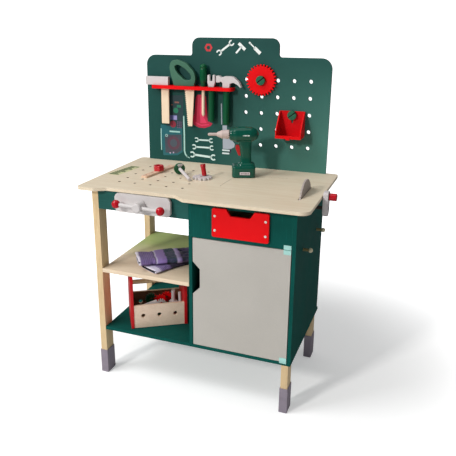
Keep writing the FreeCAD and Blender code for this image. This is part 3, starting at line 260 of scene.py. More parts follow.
def plastic(name, code, rough, texture, scale=900.0, coat=0.0):
    """Moulded plastic: even colour with slight flow marks and a fine skin."""
    f = Finish(name)
    base = tone(code)
    flow = f.noise(f.place((9, 9, 22)), 1.5, 3.0, 0.5, 0.6)
    colour = f.mix(f.ramp(flow, [(0.3, 0.0), (0.75, 1.0)]), shade(base, 0.9), shade(base, 1.1))
    skin = f.noise(f.place(), scale, 2.0, 0.5)
    relief = f.bump(skin, texture, 0.0003)
    scuffs = f.noise(f.place((40, 40, 260)), 1.0, 3.0, 0.7)
    glossy = f.ramp(scuffs, [(0.4, rough), (0.8, rough + 0.14)])
    return f.done(colour, glossy, relief, Coat_Weight=coat, Coat_Roughness=0.06,
                  Specular_IOR_Level=0.3)


def steel(name, code, rough):
    """Brushed, zinc-plated steel."""
    f = Finish(name)
    base = tone(code)
    brush = f.noise(f.place((900, 40, 40)), 1.0, 3.0, 0.6)
    colour = f.mix(f.ramp(brush, [(0.3, 0.0), (0.7, 1.0)]), shade(base, 0.82), base)
    return f.done(colour, rough, f.bump(brush, 0.2, 0.0002), Metallic=0.85)


INK_SPECK = 0.25


def printed(name, code, rough):
    """Ink, a little uneven."""
    f = Finish(name)
    base = tone(code)
    dots = f.noise(f.place(), 700.0, 2.0, 0.6)
    cloud = f.noise(f.place(), 40.0, 3.0, 0.6)
    colour = f.mix(f.ramp(dots, [(0.4, 0.0), (0.7, INK_SPECK)]), base, shade(base, 0.6))
    colour = f.mix(f.ramp(cloud, [(0.4, 0.0), (0.7, INK_SPECK)]), colour, shade(base, 1.3))
    return f.done(colour, rough, f.bump(dots, 0.08, 0.0002))


PALE_WOOD = wood("lacquered_ply", "#E9DCC4", "#C8AA82", "X", 0.42, 0.5, ply=0.5)
# The shelf's green tint at the rear is painted reflected light and shade from the green panels.
SHELF_WOOD = wood("shelf_ply", "#F2DEC4", "#C4A884", "X", 0.45, 0.5, ply=0.3,
                  painted_bounce=("#84AC4A", -0.06, 0.08))
LEG_WOOD = wood("planed_pine", "#E0C79C", "#B28852", "Z", 0.5, 0.6)
TOOL_WOOD = wood("tool_beech", "#F4E0C4", "#D2AC86", "Z", 0.5, 0.5)
STRIP_WOOD = wood("strip_beech", "#E4C4AA", "#B98A6E", "Y", 0.5, 0.5)
BOX_WOOD = wood("box_beech", "#FAE0CA", "#CDA686", "X", 0.5, 0.55)
# A darker copy of the box's beech for its inner faces: painted shade.
BOX_PAINTED_SHADE = wood("box_beech_painted_shade", "#8C7052", "#5A4630", "X", 0.55, 0.6)
# The board's lighter lower right is a painted reflection.
BOARD_GREEN = painted("board_green", "#124742", 0.45, 0.8, "#4E7A6C", gloss=0.22, painted_reflection="#487D72")
CASE_GREEN = painted("case_green", "#0A4F48", 0.55, 1.0, "#3F6F60", streak="Z", gloss=0.06)
# A lighter copy of the case green for the front apron: painted light where it catches more light.
APRON_GREEN_PAINTED_LIGHT = painted("apron_green_painted_light", "#1E5852", 0.5, 1.0, "#3F6F60", streak="X", gloss=0.2)
TOOL_GREEN = painted("tool_green", "#00502F", 0.28, 0.4, "#4A7A60", gloss=0.4, mottle=0.06)
SAW_GREEN = painted("saw_green", "#3E6B56", 0.4, 0.6, "#6D9078")
DOOR_GREY = painted("door_grey", "#B6B2AB", 0.5, 0.8, "#DAD8D2", mottle=0.03)
TOOL_GREY = painted("tool_grey", "#CBC4C4", 0.5, 1.0, "#E5DED8", mottle=0.05)
VICE_GREY = painted("vice_grey", "#CAC5C4", 0.5, 1.0, "#E8E4DE", mottle=0.05)
PAINT_RED = painted("paint_red", "#E30B12", 0.38, 0.6, "#F2473A", gloss=0.1, mottle=0.05)
BALL_RED = painted("ball_red", "#B60C1E", 0.14, 0.3, "#E0403A", gloss=0.5)
# A darker red for the bin's inner faces: painted shade.
BIN_PAINTED_SHADE = painted("bin_painted_shade", "#CE0812", 0.45, 0.6, "#D0303A", gloss=0.1, mottle=0.06)
BOX_RED = painted("box_red", "#C8121A", 0.42, 0.7, "#E0403A")
SHOE_GREY = plastic("shoe_grey", "#8D8490", 0.55, 0.5, 500.0)
LEAF_BLUE = plastic("leaf_blue", "#A5D6CF", 0.4, 0.3)
DRILL_GREEN = plastic("drill_green", "#004D3E", 0.16, 0.1, 700.0, coat=0.3)
CHUCK_GREY = plastic("chuck_grey", "#C9B7B1", 0.45, 0.4)
TRIGGER_RED = plastic("trigger_red", "#C22A2A", 0.35, 0.2)
PEG_WOOD = wood("peg_beech", "#7D7448", "#4E4728", "X", 0.5, 0.5)
SCREW_STEEL = steel("screw_steel", "#B9B7B2", 0.32)
SCREW_PALE = plastic("screw_pale", "#DDD2CA", 0.4, 0.3)
# A darker grey than the other grey parts for the saw blade: painted shade of its shaded face, with
# mottling.
BLADE_PAINTED_SHADE = painted("blade_grey_painted_shade", "#ADA29C", 0.5, 1.0, "#D0C8C0", mottle=0.2)
# Near black for the saw axle: painted shade where it sits in shadow.
AXLE_PAINTED_SHADE = painted("axle_painted_shade", "#3B3734", 0.5, 0.8, "#6A645E")
PEG_PALE = wood("peg_pale", "#D3CAAA", "#A89C78", "X", 0.45, 0.4)
# A lighter green for the bolts' front faces: painted highlight.
BOLT_PAINTED_HIGHLIGHT = painted("bolt_face_painted_highlight", "#1F6448", 0.35, 0.5, "#5C8C72", gloss=0.4)
# Dark brown wood for the walls of the worktop's peg holes: painted shade.
HOLE_PAINTED_SHADE = wood("hole_painted_shade", "#5C4A34", "#3A2C1E", "Z", 0.6, 0.5)
# Near black painted shade, used in the bolt slots.
RECESS_PAINTED_SHADE = plastic("recess_painted_shade", "#10110F", 0.7, 0.2)


# ---- CAD nodes: their own shape, with softened edges and a material each ----
WELD_REACH = 0.02
FLAT_ANGLE = 0.6
SHARP_ANGLE = 32
EDGE_STEPS = 2


def dress(node, material, edge):
    """Gives a CAD node its material and rounds its sharp edges; edge is the rounding's width in mm."""
    thing = NODES[node]
    thing.data.materials.clear()
    thing.data.materials.append(material)
    for face in thing.data.polygons:
        face.material_index = 0
        face.use_smooth = True
    weld = thing.modifiers.new("weld", "WELD")
    weld.merge_threshold = WELD_REACH * MM
    flats = thing.modifiers.new("flats", "DECIMATE")
    flats.decimate_type = "DISSOLVE"
    flats.angle_limit = math.radians(FLAT_ANGLE)
    flats.delimit = {"MATERIAL"}
    if edge > 0:
        soft = thing.modifiers.new("edges", "BEVEL")
        soft.width = edge * MM
        soft.segments = EDGE_STEPS
        soft.limit_method = "ANGLE"
        soft.angle_limit = math.radians(SHARP_ANGLE)
    normals = thing.modifiers.new("normals", "WEIGHTED_NORMAL")
    normals.weight = 60


DRESSING = [
    ("worktop", PALE_WOOD, 2.0), ("left_legs", LEG_WOOD, 1.2), ("right_legs", LEG_WOOD, 1.2),
    ("foot_sleeves", SHOE_GREY, 0.8), ("bottom_board", CASE_GREEN, 1.0),
    ("middle_shelf", SHELF_WOOD, 1.0), ("cabinet_divider", CASE_GREEN, 0.8),
    ("cabinet_side", CASE_GREEN, 0.8), ("cabinet_back", CASE_GREEN, 0.5),
    # The front apron's lighter green is painted light.
    ("front_apron", APRON_GREEN_PAINTED_LIGHT, 0.8), ("rear_aprons", LEG_WOOD, 0.8),
    ("board_battens", LEG_WOOD, 0.8),
    ("frame_screws", SCREW_STEEL, 0.3), ("pegboard", BOARD_GREEN, 0.8), ("tool_rack", PAINT_RED, 1.2),
    ("board_bolts", TOOL_GREEN, 1.2), ("gear_wheel", PAINT_RED, 0.6), ("hanging_bin", PAINT_RED, 0.8),
    ("drawer_surround", CASE_GREEN, 0.6), ("frame_hinge_leaves", LEAF_BLUE, 0.6),
    ("door", DOOR_GREY, 0.5), ("door_hinge_leaves", LEAF_BLUE, 0.6), ("drawer_front", PAINT_RED, 1.0),
    ("drawer_tray", PALE_WOOD, 0.6), ("drawer_screws", SCREW_PALE, 0.3),
    ("drawer_runners", LEG_WOOD, 0.6), ("vice_jaw", VICE_GREY, 1.2), ("vice_guides", VICE_GREY, 0.4),
    ("vice_screw", VICE_GREY, 1.0), ("vice_nut", VICE_GREY, 0.8), ("vice_handle", VICE_GREY, 0.4),
    # The saw blade's darker grey is painted shade.
    ("vice_handle_balls", BALL_RED, 0.2), ("bench_saw_blade", BLADE_PAINTED_SHADE, 0.5),
    # The saw axle's dark colour is painted shade.
    ("saw_axle", AXLE_PAINTED_SHADE, 0.4), ("crank_arm", TOOL_GREY, 1.2), ("crank_knob", BALL_RED, 0.6),
    ("side_pegs", PEG_WOOD, 0.2), ("try_square_stock", TOOL_GREY, 0.8),
    ("try_square_rule", TOOL_WOOD, 0.6),
    ("hand_saw_handle", SAW_GREEN, 2.4), ("hand_saw_blade", TOOL_WOOD, 0),
    ("screwdriver_handle", TOOL_GREEN, 0.6), ("screwdriver_shaft", TOOL_WOOD, 0.5),
    ("wrench_head", TOOL_GREY, 1.4), ("wrench_handle", TOOL_GREEN, 0.8),
    ("hammer_head", TOOL_GREY, 1.8),
    ("hammer_handle", TOOL_GREEN, 0.8), ("drill_shells", DRILL_GREEN, 1.0),
    ("drill_chuck", CHUCK_GREY, 0.6), ("drill_trigger", TRIGGER_RED, 1.2),
    ("toolbox_ends", BOX_RED, 1.0), ("toolbox_boards", BOX_WOOD, 0.8),
    ("toolbox_handle", LEG_WOOD, 0.6), ("toolbox_contents", TOOL_GREEN, 0.6),
    ("perforated_strip", STRIP_WOOD, 0.6),
    ("strip_nut", BALL_RED, 1.0), ("disc_bolt", TOOL_GREEN, 0.8), ("spur_wheel", TOOL_GREY, 0.6),
    ("red_bolt", BALL_RED, 0.8), ("work_gloves", TOOL_GREY, 3.0),
]
for node_name, node_material, node_edge in DRESSING:
    dress(node_name, node_material, node_edge)


# ---- Mesh helpers for the added pieces ----
def piece(name, bm, material, body, smooth=False):
    """Turns a bmesh into a piece that rides on a body."""
    bmesh.ops.recalc_face_normals(bm, faces=bm.faces)
    mesh = bpy.data.meshes.new(name)
    bm.to_mesh(mesh)
    bm.free()
    mesh.materials.append(material)
    for face in mesh.polygons:
        face.use_smooth = smooth
    thing = bpy.data.objects.new(name, mesh)
    bpy.context.scene.collection.objects.link(thing)
    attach(thing, body)
    return thing


def prism(bm, outline, low, high, place):
    """A closed prism from low to high on an outline; place turns three numbers into a point."""
    near = [bm.verts.new(place(a, b, low)) for a, b in outline]
    far = [bm.verts.new(place(a, b, high)) for a, b in outline]
    bm.faces.new(near)
    bm.faces.new(list(reversed(far)))
    for index in range(len(outline)):
        after = (index + 1) % len(outline)
        bm.faces.new((near[index], far[index], far[after], near[after]))


def settle(thing):
    """Applies a piece's modifiers to its mesh."""
    graph = bpy.context.evaluated_depsgraph_get()
    made = bpy.data.meshes.new_from_object(thing.evaluated_get(graph))
    old = thing.data
    thing.modifiers.clear()
    thing.data = made
    bpy.data.meshes.remove(old)
    for face in made.polygons:
        face.use_smooth = True


def plates(name, shapes, low, high, place, material, body):
    """Flat shapes between two depths, as one piece."""
    bm = bmesh.new()
    for shape in shapes:
        prism(bm, shape, low, high, place)
    piece(name, bm, material, body)


def circle(x, y, radius, count=28):
    """Points round a circle."""
    turns = [2 * math.pi * step / count for step in range(count)]
    return [(x + radius * math.cos(turn), y + radius * math.sin(turn)) for turn in turns]


ARC_STEPS = 20


def arc_band(x, y, outer, inner, start, end):
    """A C-shaped outline between two angles in degrees."""
    turns = [math.radians(start + (end - start) * step / ARC_STEPS) for step in range(ARC_STEPS + 1)]
    rim = [(x + outer * math.cos(turn), y + outer * math.sin(turn)) for turn in turns]
    back = [(x + inner * math.cos(turn), y + inner * math.sin(turn)) for turn in reversed(turns)]
    return rim + back


def stroke(points, width):
    """The outline of a line drawn with a flat pen."""
    left = []
    right = []
    for index, (x, y) in enumerate(points):
        before = points[max(index - 1, 0)]
        after = points[min(index + 1, len(points) - 1)]
        run = Vector((after[0] - before[0], after[1] - before[1])).normalized()
        left.append((x - run.y * width / 2, y + run.x * width / 2))
        right.append((x + run.y * width / 2, y - run.x * width / 2))
    return left + list(reversed(right))


def rectangle(x, y, wide, high):
    """A rectangle from its lower left corner."""
    return [(x, y), (x + wide, y), (x + wide, y + high), (x, y + high)]


JAW_HOLLOW = 0.52
JAW_SEAT = 0.7
JAW_START, JAW_END = 52, 322


def spanner(left, right, width, reach):
    """An open-ended spanner lying between two points: a bar with a C-shaped jaw at each end."""
    run = Vector((right[0] - left[0], right[1] - left[1]))
    facing = math.degrees(math.atan2(run.y, run.x))
    shapes = [stroke([left, right], width)]
    for spot, away in ((left, facing + 180), (right, facing)):
        turn = math.radians(away)
        step = Vector((math.cos(turn), math.sin(turn))) * reach * JAW_SEAT
        shapes.append(arc_band(spot[0] + step.x, spot[1] + step.y, reach, reach * JAW_HOLLOW,
                               away + JAW_START, away + JAW_END))
    return shapes


# ---- Prints on the pegboard and the worktop: thin ink films standing on the surface ----
BOARD_FRONT = 371.0
WORKTOP_TOP = 609.0
FILM = 0.12
FILM_GAP = 0.01


def on_board(across, up, out):
    """A point in front of the peg board."""
    return at(across, BOARD_FRONT - out, up)


def on_worktop(across, back, out):
    """A point above the worktop."""
    return at(across, back, WORKTOP_TOP + out)


def print_film(name, code, shapes, layer=0, place=on_board, rough=0.4):
    """One colour of ink: a film about a tenth of a millimetre thick; higher layers lie on top."""
    low = FILM_GAP + layer * FILM
    plates(name, shapes, low, low + FILM, place, printed(name, code, rough), "bench")


def tester_print():
    """A printed meter: slate case, teal lower panel, dial, buttons and a lead."""
    print_film("print_slate", "#1F3C42", [[(70, 824), (127, 826), (125, 722), (66, 724)]])
    print_film("print_teal", "#0E6069",
               [[(44, 727), (115, 721), (122, 718), (122, 640), (104, 628), (52, 624), (43, 695)]])
    print_film("print_dial_panel", "#3F4450",
               [[(58, 694), (119, 698), (119, 646), (102, 634), (60, 634)]], 1)
    print_film("print_dial", "#573849", [circle(90, 668, 23)], 2)
    print_film("print_dial_core", "#45505C", [circle(90, 668, 13)], 3)
    print_film("print_green", "#1F7F60", [circle(100, 776, 9), rectangle(104, 786, 14, 8)], 1)
    print_film("print_orange", "#8A5A50", [rectangle(96, 800, 16, 5), rectangle(84, 792, 6, 4)], 1)
    print_film("print_blue", "#6468A8", [rectangle(76, 745, 28, 15)], 1)
    print_film("print_blue_light", "#A49FD6", [rectangle(92, 746, 11, 13)], 2)
    print_film("print_crimson", "#93213A", [circle(89, 731, 11)], 2)
    buttons = []
    for row in range(4):
        for column in range(3):
            buttons.append(rectangle(104 + column * 6, 719 + row * 6, 3.6, 3.6))
    print_film("print_buttons", "#6E4E74", buttons, 1)
    lines = [stroke([(45.5, 714), (45, 680), (45.5, 642)], 3), rectangle(76, 704, 38, 5)]
    lines += [arc_band(65, 692, 4.6, 2.8, start, start + 180) for start in (0, 180)]
    print_film("print_pale_teal", "#A6D6D0", lines, 3)
    print_film("print_sockets", "#B9A8C4", [circle(77, 634, 2.6), circle(89, 636, 2.6)], 3)


def bar_print():
    """A printed pale bar with a bent foot."""
    bar = [(127, 760), (128, 735), (129, 700), (129, 672), (129, 645), (132, 634), (139, 625)]
    print_film("print_pry_bar", "#A6D2CA", [stroke(bar, 5), stroke([(137, 628), (147, 622)], 3)])


def crimson_print():
    """A printed red hand tool behind the screwdriver."""
    print_film("print_red_tool", "#C01842",
               [[(171, 822), (176, 830), (200, 831), (206, 824), (209, 785), (211, 748), (228, 741),
                 (222, 733), (202, 725), (182, 725), (163, 733), (158, 756), (166, 770)]])
    print_film("print_red_light", "#E0345F",
               [[(186, 820), (196, 822), (198, 760), (208, 742), (186, 740), (184, 770)],
                stroke([(168, 741), (190, 733), (216, 737)], 4)], 1)


def spanner_prints():
    """Three printed spanners."""
    shapes = spanner((178, 685), (218, 685.5), 5, 8)
    shapes += spanner((169, 661), (220, 661.5), 5.5, 8.6)
    shapes += spanner((164, 634.5), (224, 631), 7, 10.5)
    print_film("print_spanners", "#CFE8E4", shapes)


def torch_print():
    """A printed grey torch behind the drill."""
    print_film("print_torch", "#A9B2BD",
               [[(262, 737), (277, 738), (277, 700), (296, 690), (304, 681), (303, 670), (289, 662),
                 (264, 662)], stroke([(257.5, 806), (259.5, 740)], 3)])
    print_film("print_torch_bars", "#D6E4E6",
               [rectangle(262, 655, 25, 5), rectangle(262, 645, 24, 5)], 1)
    print_film("print_torch_dark", "#22243C", [rectangle(283, 651, 9, 12)])


def header_icons():
    """Plain tool pictures across the header: a nut, a spanner, a hammer and a screwdriver."""
    middle = 975.5
    across = 214
    upper = []
    for radius, turns in ((13, range(0, 181, 60)), (6, range(180, -1, -20))):
        for turn in turns:
            angle = math.radians(turn)
            upper.append((across + radius * math.cos(angle), middle + radius * math.sin(angle)))
    lower = [(x, 2 * middle - y) for x, y in upper]
    print_film("icon_nut", "#C9222C", [upper, lower])
    white = spanner((254, middle - 11), (284, middle + 11), 6, 9)
    hammer = (((304, -15), (321, 4), 5.5), ((312, 14), (333, -4.5), 9))
    screwdriver = (((349, 14), (364, 0), 4), ((362, 2), (381, -15), 10))
    for start, end, width in hammer + screwdriver:
        white.append(stroke([(start[0], middle + start[1]), (end[0], middle + end[1])], width))
    white.append([(343, middle + 15.5), (347, middle + 19.5), (352, middle + 14.5),
                  (348, middle + 11)])
    print_film("icon_tools", "#E8EFEC", white)


def worktop_print():
    """A plain printed rule near the left edge, and two faint darker lines."""
    rule_front = 128
    rule_back = 250
    band = [(-24, rule_front), (14, rule_front), (30, rule_back), (-4, rule_back)]
    print_film("print_rule_band", "#CBCB9C", [band], 0, on_worktop, 0.5)
    tick_step = 11.5
    tick_wide = 7
    ticks = []
    for step in range(10):
        back = rule_front + 6 + step * tick_step
        left = -20 + 18 * (back - rule_front) / (rule_back - rule_front)
        long = 30 if step % 3 == 0 else 20
        ticks.append(rectangle(left, back, long, tick_wide))
    print_film("print_rule_ticks", "#17401F", ticks, 1, on_worktop, 0.5)
    # Two faint darker lines drawn on the worktop.
    faint_lines = [stroke([(346, 123), (347, 160), (350, 214)], 0.9), stroke([(376, 258), (505, 277)], 0.9)]
    print_film("print_faint_lines", "#8A7A62", faint_lines, 0, on_worktop, 0.6)


tester_print()
bar_print()
crimson_print()
spanner_prints()
torch_print()
header_icons()
worktop_print()


# ---- The drill: one moulded body behind the CAD chuck and round the CAD trigger ----
DRILL_SPOT = (372.5, 254.0, 609.1)
DRILL_TURN = math.radians(21)
DRILL_AXIS_UP = 127.0
BARREL_NOSE = -42
BARREL_LONG = 85.4
BARREL_STEPS = 40
DOME_START = 20
GRIP_LOW, GRIP_HIGH, GRIP_STEP = 30, 118, 4
BATTERY_HALF = (35, 26)
COLLAR_HALF = (25.5, 19.5)
COLLAR_ACROSS = 8
TRIGGER_SLOT = ((-40, 62.4), (-4.2, 97.6))
TRIGGER_HALF = 6.2
CHUCK_BORE = 6.4


def in_drill(x, y, z):
    """A point in the drill's own frame: x from nose to tail, z up from the battery's foot."""
    across = DRILL_SPOT[0] + x * math.cos(DRILL_TURN) - y * math.sin(DRILL_TURN)
    back = DRILL_SPOT[1] + x * math.sin(DRILL_TURN) + y * math.cos(DRILL_TURN)
    return at(across, back, DRILL_SPOT[2] + z)


def loft(bm, rings):
    """A closed skin through rings of equal count."""
    layers = [[bm.verts.new(spot) for spot in ring] for ring in rings]
    count = len(rings[0])
    for lower, upper in zip(layers, layers[1:]):
        for index in range(count):
            after = (index + 1) % count
            bm.faces.new((lower[index], lower[after], upper[after], upper[index]))
    bm.faces.new(list(reversed(layers[0])))
    bm.faces.new(layers[-1])


def squircle(half_a, half_b, power, count=40):
    """Points round a rounded rectangle given by a superellipse."""
    spots = []
    for step in range(count):
        turn = 2 * math.pi * step / count
        a = math.copysign(abs(math.cos(turn)) ** (2 / power), math.cos(turn))
        b = math.copysign(abs(math.sin(turn)) ** (2 / power), math.sin(turn))
        spots.append((half_a * a, half_b * b))
    return spots


def blend_value(stations, spot):
    """A smooth value between stations (spot, value)."""
    for (low, first), (high, second) in zip(stations, stations[1:]):
        if spot <= high:
            share = max(0.0, (spot - low) / (high - low))
            share = share * share * (3 - 2 * share)
            return first + (second - first) * share
    return stations[-1][1]


def drill_barrel(bm):
    """The round housing: it swells in the middle and ends in a dome at the tail."""
    stations = [(-42, 16.5), (-38, 18.6), (-20, 22.6), (2, 23.6), (DOME_START, 22.6)]
    rings = []
    for step in range(BARREL_STEPS + 1):
        along = BARREL_NOSE + BARREL_LONG * step / BARREL_STEPS
        if along > DOME_START:
            radius = 23.2 * math.sqrt(max(0.0, 1 - ((along - 8) / 35.6) ** 2)) + 0.6
        else:
            radius = blend_value(stations, along)
        rings.append([in_drill(along, a, DRILL_AXIS_UP + b) for a, b in circle(0, 0, radius, 40)])
    loft(bm, rings)


def drill_grip(bm):
    """The handle: narrowest in the middle, spreading to the barrel and the battery."""
    front = [(30, -14), (46, -11), (64, -10.2), (84, -12.5), (102, -17), (118, -22)]
    back = [(30, 27), (46, 23.5), (64, 22.2), (96, 22.6), (118, 25)]
    half_wide = [(30, 16), (60, 14), (118, 15.5)]
    rings = []
    for up in range(GRIP_LOW, GRIP_HIGH + 1, GRIP_STEP):
        low = blend_value(front, up)
        high = blend_value(back, up)
        middle = (low + high) / 2
        outline = squircle((high - low) / 2, blend_value(half_wide, up), 3.2)
        rings.append([in_drill(middle + a, b, up) for a, b in outline])
    loft(bm, rings)


def drill_block(bm, levels, half, power, count, across=0):
    """A rounded block from levels, each a height and how far its outline is drawn in."""
    rings = []
    for up, inset in levels:
        outline = squircle(half[0] - inset, half[1] - inset, power, count)
        rings.append([in_drill(across + a, b, up) for a, b in outline])
    loft(bm, rings)


def drill_cutter():
    """The room that the trigger and the chuck's tail need inside the body."""
    bm = bmesh.new()
    (front, low), (back, high) = TRIGGER_SLOT
    slot = [(front, low), (back, low), (back, high), (front, high)]
    prism(bm, slot, -TRIGGER_HALF, TRIGGER_HALF, lambda a, b, c: in_drill(a, c, b))
    bore = circle(0, 0, CHUCK_BORE, 24)
    loft(bm, [[in_drill(along, a, DRILL_AXIS_UP + b) for a, b in bore] for along in (-60, -30)])
    return piece("drill_cutter", bm, RECESS_PAINTED_SHADE, "drill")


def drill_body():
    """Lofted parts melted into one skin, with the cutter's room taken out."""
    bm = bmesh.new()
    drill_barrel(bm)
    drill_grip(bm)
    battery = ((0, 3), (0.8, 1.2), (2.5, 0), (30, 0), (33.5, 1), (35, 3.4))
    drill_block(bm, battery, BATTERY_HALF, 6, 64)
    collar = ((33, 0), (38, 0.5), (41, 2.5), (43, 6))
    drill_block(bm, collar, COLLAR_HALF, 4, 48, COLLAR_ACROSS)
    body = piece("drill_body", bm, DRILL_GREEN, "drill", True)
    mould = body.modifiers.new("mould", "REMESH")
    mould.mode = "VOXEL"
    mould.voxel_size = 0.9 * MM
    melt = body.modifiers.new("melt", "SMOOTH")
    melt.factor = 0.6
    melt.iterations = 7
    cutter = drill_cutter()
    hollow = body.modifiers.new("hollow", "BOOLEAN")
    hollow.operation = "DIFFERENCE"
    hollow.solver = "EXACT"
    hollow.object = cutter
    settle(body)
    bpy.data.objects.remove(cutter)
    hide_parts("drill_shells")


def drill_labels():
    """A plain white plate on the battery with bars, and four small pale bars on the barrel."""
    barrel_side = -23.5

    def on_battery(across, up, out):
        return in_drill(across, -BATTERY_HALF[1] - out, up)

    def on_barrel(across, up, out):
        return in_drill(across, barrel_side - out, up)

    plates("battery_plate", [rectangle(-12, 10, 30, 8.4)], -0.4, 0.35, on_battery,
           printed("battery_plate", "#D9D4D8", 0.35), "drill")
    bars = [rectangle(start, 12.6, long, 2.6) for start, long in ((-9, 6), (-2, 3), (2, 8), (11.5, 3))]
    plates("battery_plate_bars", bars, 0.3, 0.5, on_battery, printed("battery_bars", "#7A5560", 0.4),
           "drill")
    plates("battery_plate_seat", [rectangle(-14, 8.6, 33.5, 11.2)], -0.6, 0.12, on_battery,
           plastic("plate_seat", "#052D22", 0.4, 0.2), "drill")
    spots = ((-4, 1.6), (-0.5, 4.4), (5, 3.4), (9.4, 5.6))
    bars = [rectangle(start, 125.6, long, 3.2) for start, long in spots]
    plates("barrel_mark", bars, -0.5, 0.25, on_barrel, printed("barrel_mark", "#DDEAE6", 0.35), "drill")


drill_body()
drill_labels()


# ---- The work gloves: forms blown up by a short cloth simulation, then creased ----
GLOVE_LONG = 198
GLOVE_ACROSS = 94
RIB_PITCH = 5.5


def glove_cloth(name, stops, knit):
    """Knitted bands laid out along the glove from its cuff; knit is the ribbed share of its length."""
    f = Finish(name)
    along = f.add("ShaderNodeAttribute", attribute_name="along").outputs["Fac"]
    across = f.add("ShaderNodeAttribute", attribute_name="across").outputs["Fac"]
    hollow = f.add("ShaderNodeAttribute", attribute_name="hollow").outputs["Fac"]
    wander = f.noise(f.place(), 38.0, 3.0, 0.6)
    ragged = f.sums("MULTIPLY_ADD", wander, 0.05, along)
    bands = [(spot, tone(code)) for spot, code in stops]
    colour = f.ramp(f.sums("SUBTRACT", ragged, 0.025), bands)
    ribs = f.sums("PINGPONG", f.sums("MULTIPLY", along, GLOVE_LONG / RIB_PITCH), 0.5)
    knit_start, knit_end = knit
    inside_knit = f.ramp(along, [(knit_start, 0.0), (knit_start + 0.01, 1.0), (knit_end, 1.0),
                                 (knit_end + 0.02, 0.0)])
    rib_shade = f.sums("MULTIPLY", f.ramp(ribs, [(0.12, 1.0), (0.3, 0.0)]), inside_knit)
    colour = f.mix(f.sums("MULTIPLY", rib_shade, 0.55), colour, tone("#3A3450"))
    stitches = f.sums("SINE", f.sums("MULTIPLY", across, 230.0))
    loops = f.sums("SINE", f.sums("MULTIPLY", along, 480.0))
    weave = f.sums("MULTIPLY", stitches, loops)
    colour = f.mix(f.ramp(weave, [(0.0, 0.0), (0.9, 0.14)]), colour, shade(tone("#C9BEE0"), 0.8))
    blot = f.noise(f.place(), 90.0, 3.0, 0.65)
    colour = f.mix(f.ramp(blot, [(0.4, 0.0), (0.75, 0.25)]), colour, tone("#A482C4"))
    # Near black painted shade inside the cuff's opening.
    colour = f.mix(hollow, colour, tone("#15131C"))
    fuzz = f.noise(f.place(), 900.0, 2.0, 0.6)
    relief = f.bump(weave, 0.35, 0.0008)
    relief = f.bump(rib_shade, -0.4, 0.001, relief)
    relief = f.bump(fuzz, 0.3, 0.0004, relief)
    return f.done(colour, 0.85, relief, Sheen_Weight=0.12, Sheen_Roughness=0.5, Specular_IOR_Level=0.2)


def rounded_bar(bm, start, end, half, low, high, taper=1.0):
    """One flat tube of the glove from start to end; half is half its width, low and high its faces."""
    run = Vector((end[0] - start[0], end[1] - start[1]))
    length = run.length
    run.normalize()
    side = Vector((-run.y, run.x))
    rings = []
    count = max(6, int(length / 3))
    for step in range(count + 1):
        share = step / count
        distance = length * share
        width = half * (1 + (taper - 1) * share)
        tip = length - distance
        if tip < width:
            width *= math.sqrt(max(0.02, 1 - ((width - tip) / width) ** 2))
        middle = (low + high) / 2
        deep = (high - low) / 2 * (0.55 + 0.45 * min(1.0, tip / 8))
        ring = []
        for a, b in squircle(width, deep, 3.0, 20):
            x = start[0] + run.x * distance + side.x * a
            y = start[1] + run.y * distance + side.y * a
            ring.append((x, y, middle + b))
        rings.append(ring)
    loft(bm, rings)


KNIT_CLOTH = {"quality": 6, "mass": 0.15, "tension_stiffness": 12, "compression_stiffness": 12,
              "shear_stiffness": 4, "bending_stiffness": 0.4, "use_pressure": True,
              "uniform_pressure_force": 4.0}
SWELL_CAP = 2.6 * MM
SWELL_FRAMES = 20


def swell(thing):
    """Blows the glove up as cloth for a few frames; no point may move further than the cap."""
    graph = bpy.context.evaluated_depsgraph_get()
    before = [vertex.co.copy() for vertex in thing.evaluated_get(graph).data.vertices]
    cloth = thing.modifiers.new("cloth", "CLOTH")
    for key, value in KNIT_CLOTH.items():
        setattr(cloth.settings, key, value)
    cloth.settings.effector_weights.gravity = 0.0
    cloth.collision_settings.use_collision = False
    cloth.point_cache.frame_start = 1
    cloth.point_cache.frame_end = SWELL_FRAMES
    for frame_number in range(1, SWELL_FRAMES + 1):
        bpy.context.scene.frame_set(frame_number)
        bpy.context.view_layer.update()
    settle(thing)
    bpy.context.scene.frame_set(1)
    for vertex, start in zip(thing.data.vertices, before):
        moved = vertex.co - start
        if moved.length > SWELL_CAP:
            vertex.co = start + moved.normalized() * SWELL_CAP


FINGER_TIPS = (176, 190, 192, 182)
FORM_MARGIN = 2.0
PALM_MARGIN = 3.5
CUFF_DEEP = 15
CUFF_REACH = 9
CUFF_LIP = 0.62


def glove_form(half, low, high, thumb_side):
    """The cuff, palm, fingers and thumb as overlapping tubes, in the glove's own flat frame."""
    bm = bmesh.new()
    low = low + FORM_MARGIN
    high = high - FORM_MARGIN
    palm_half = half - PALM_MARGIN
    rounded_bar(bm, (3, 0), (150, 0), half - 8, low, high)
    rounded_bar(bm, (2, 0), (74, 0), palm_half, low, high)
    rounded_bar(bm, (50, 0), (134, 0), palm_half, low, high)
    pitch = (2 * palm_half - 1) / len(FINGER_TIPS)
    for number, tip in enumerate(FINGER_TIPS):
        middle = -palm_half + pitch * (number + 0.5)
        spread = (number - 1.5) * 1.2
        rounded_bar(bm, (100, middle), (tip, middle + spread), pitch / 2 - 1.6, low, high, 0.86)
    thumb_root = (62, thumb_side * (half - 18))
    thumb_tip = (128, thumb_side * (half - 7.5))
    rounded_bar(bm, thumb_root, thumb_tip, 8.5, low, high, 0.85)
    for vertex in bm.verts:
        vertex.co = vertex.co * MM
    return bm


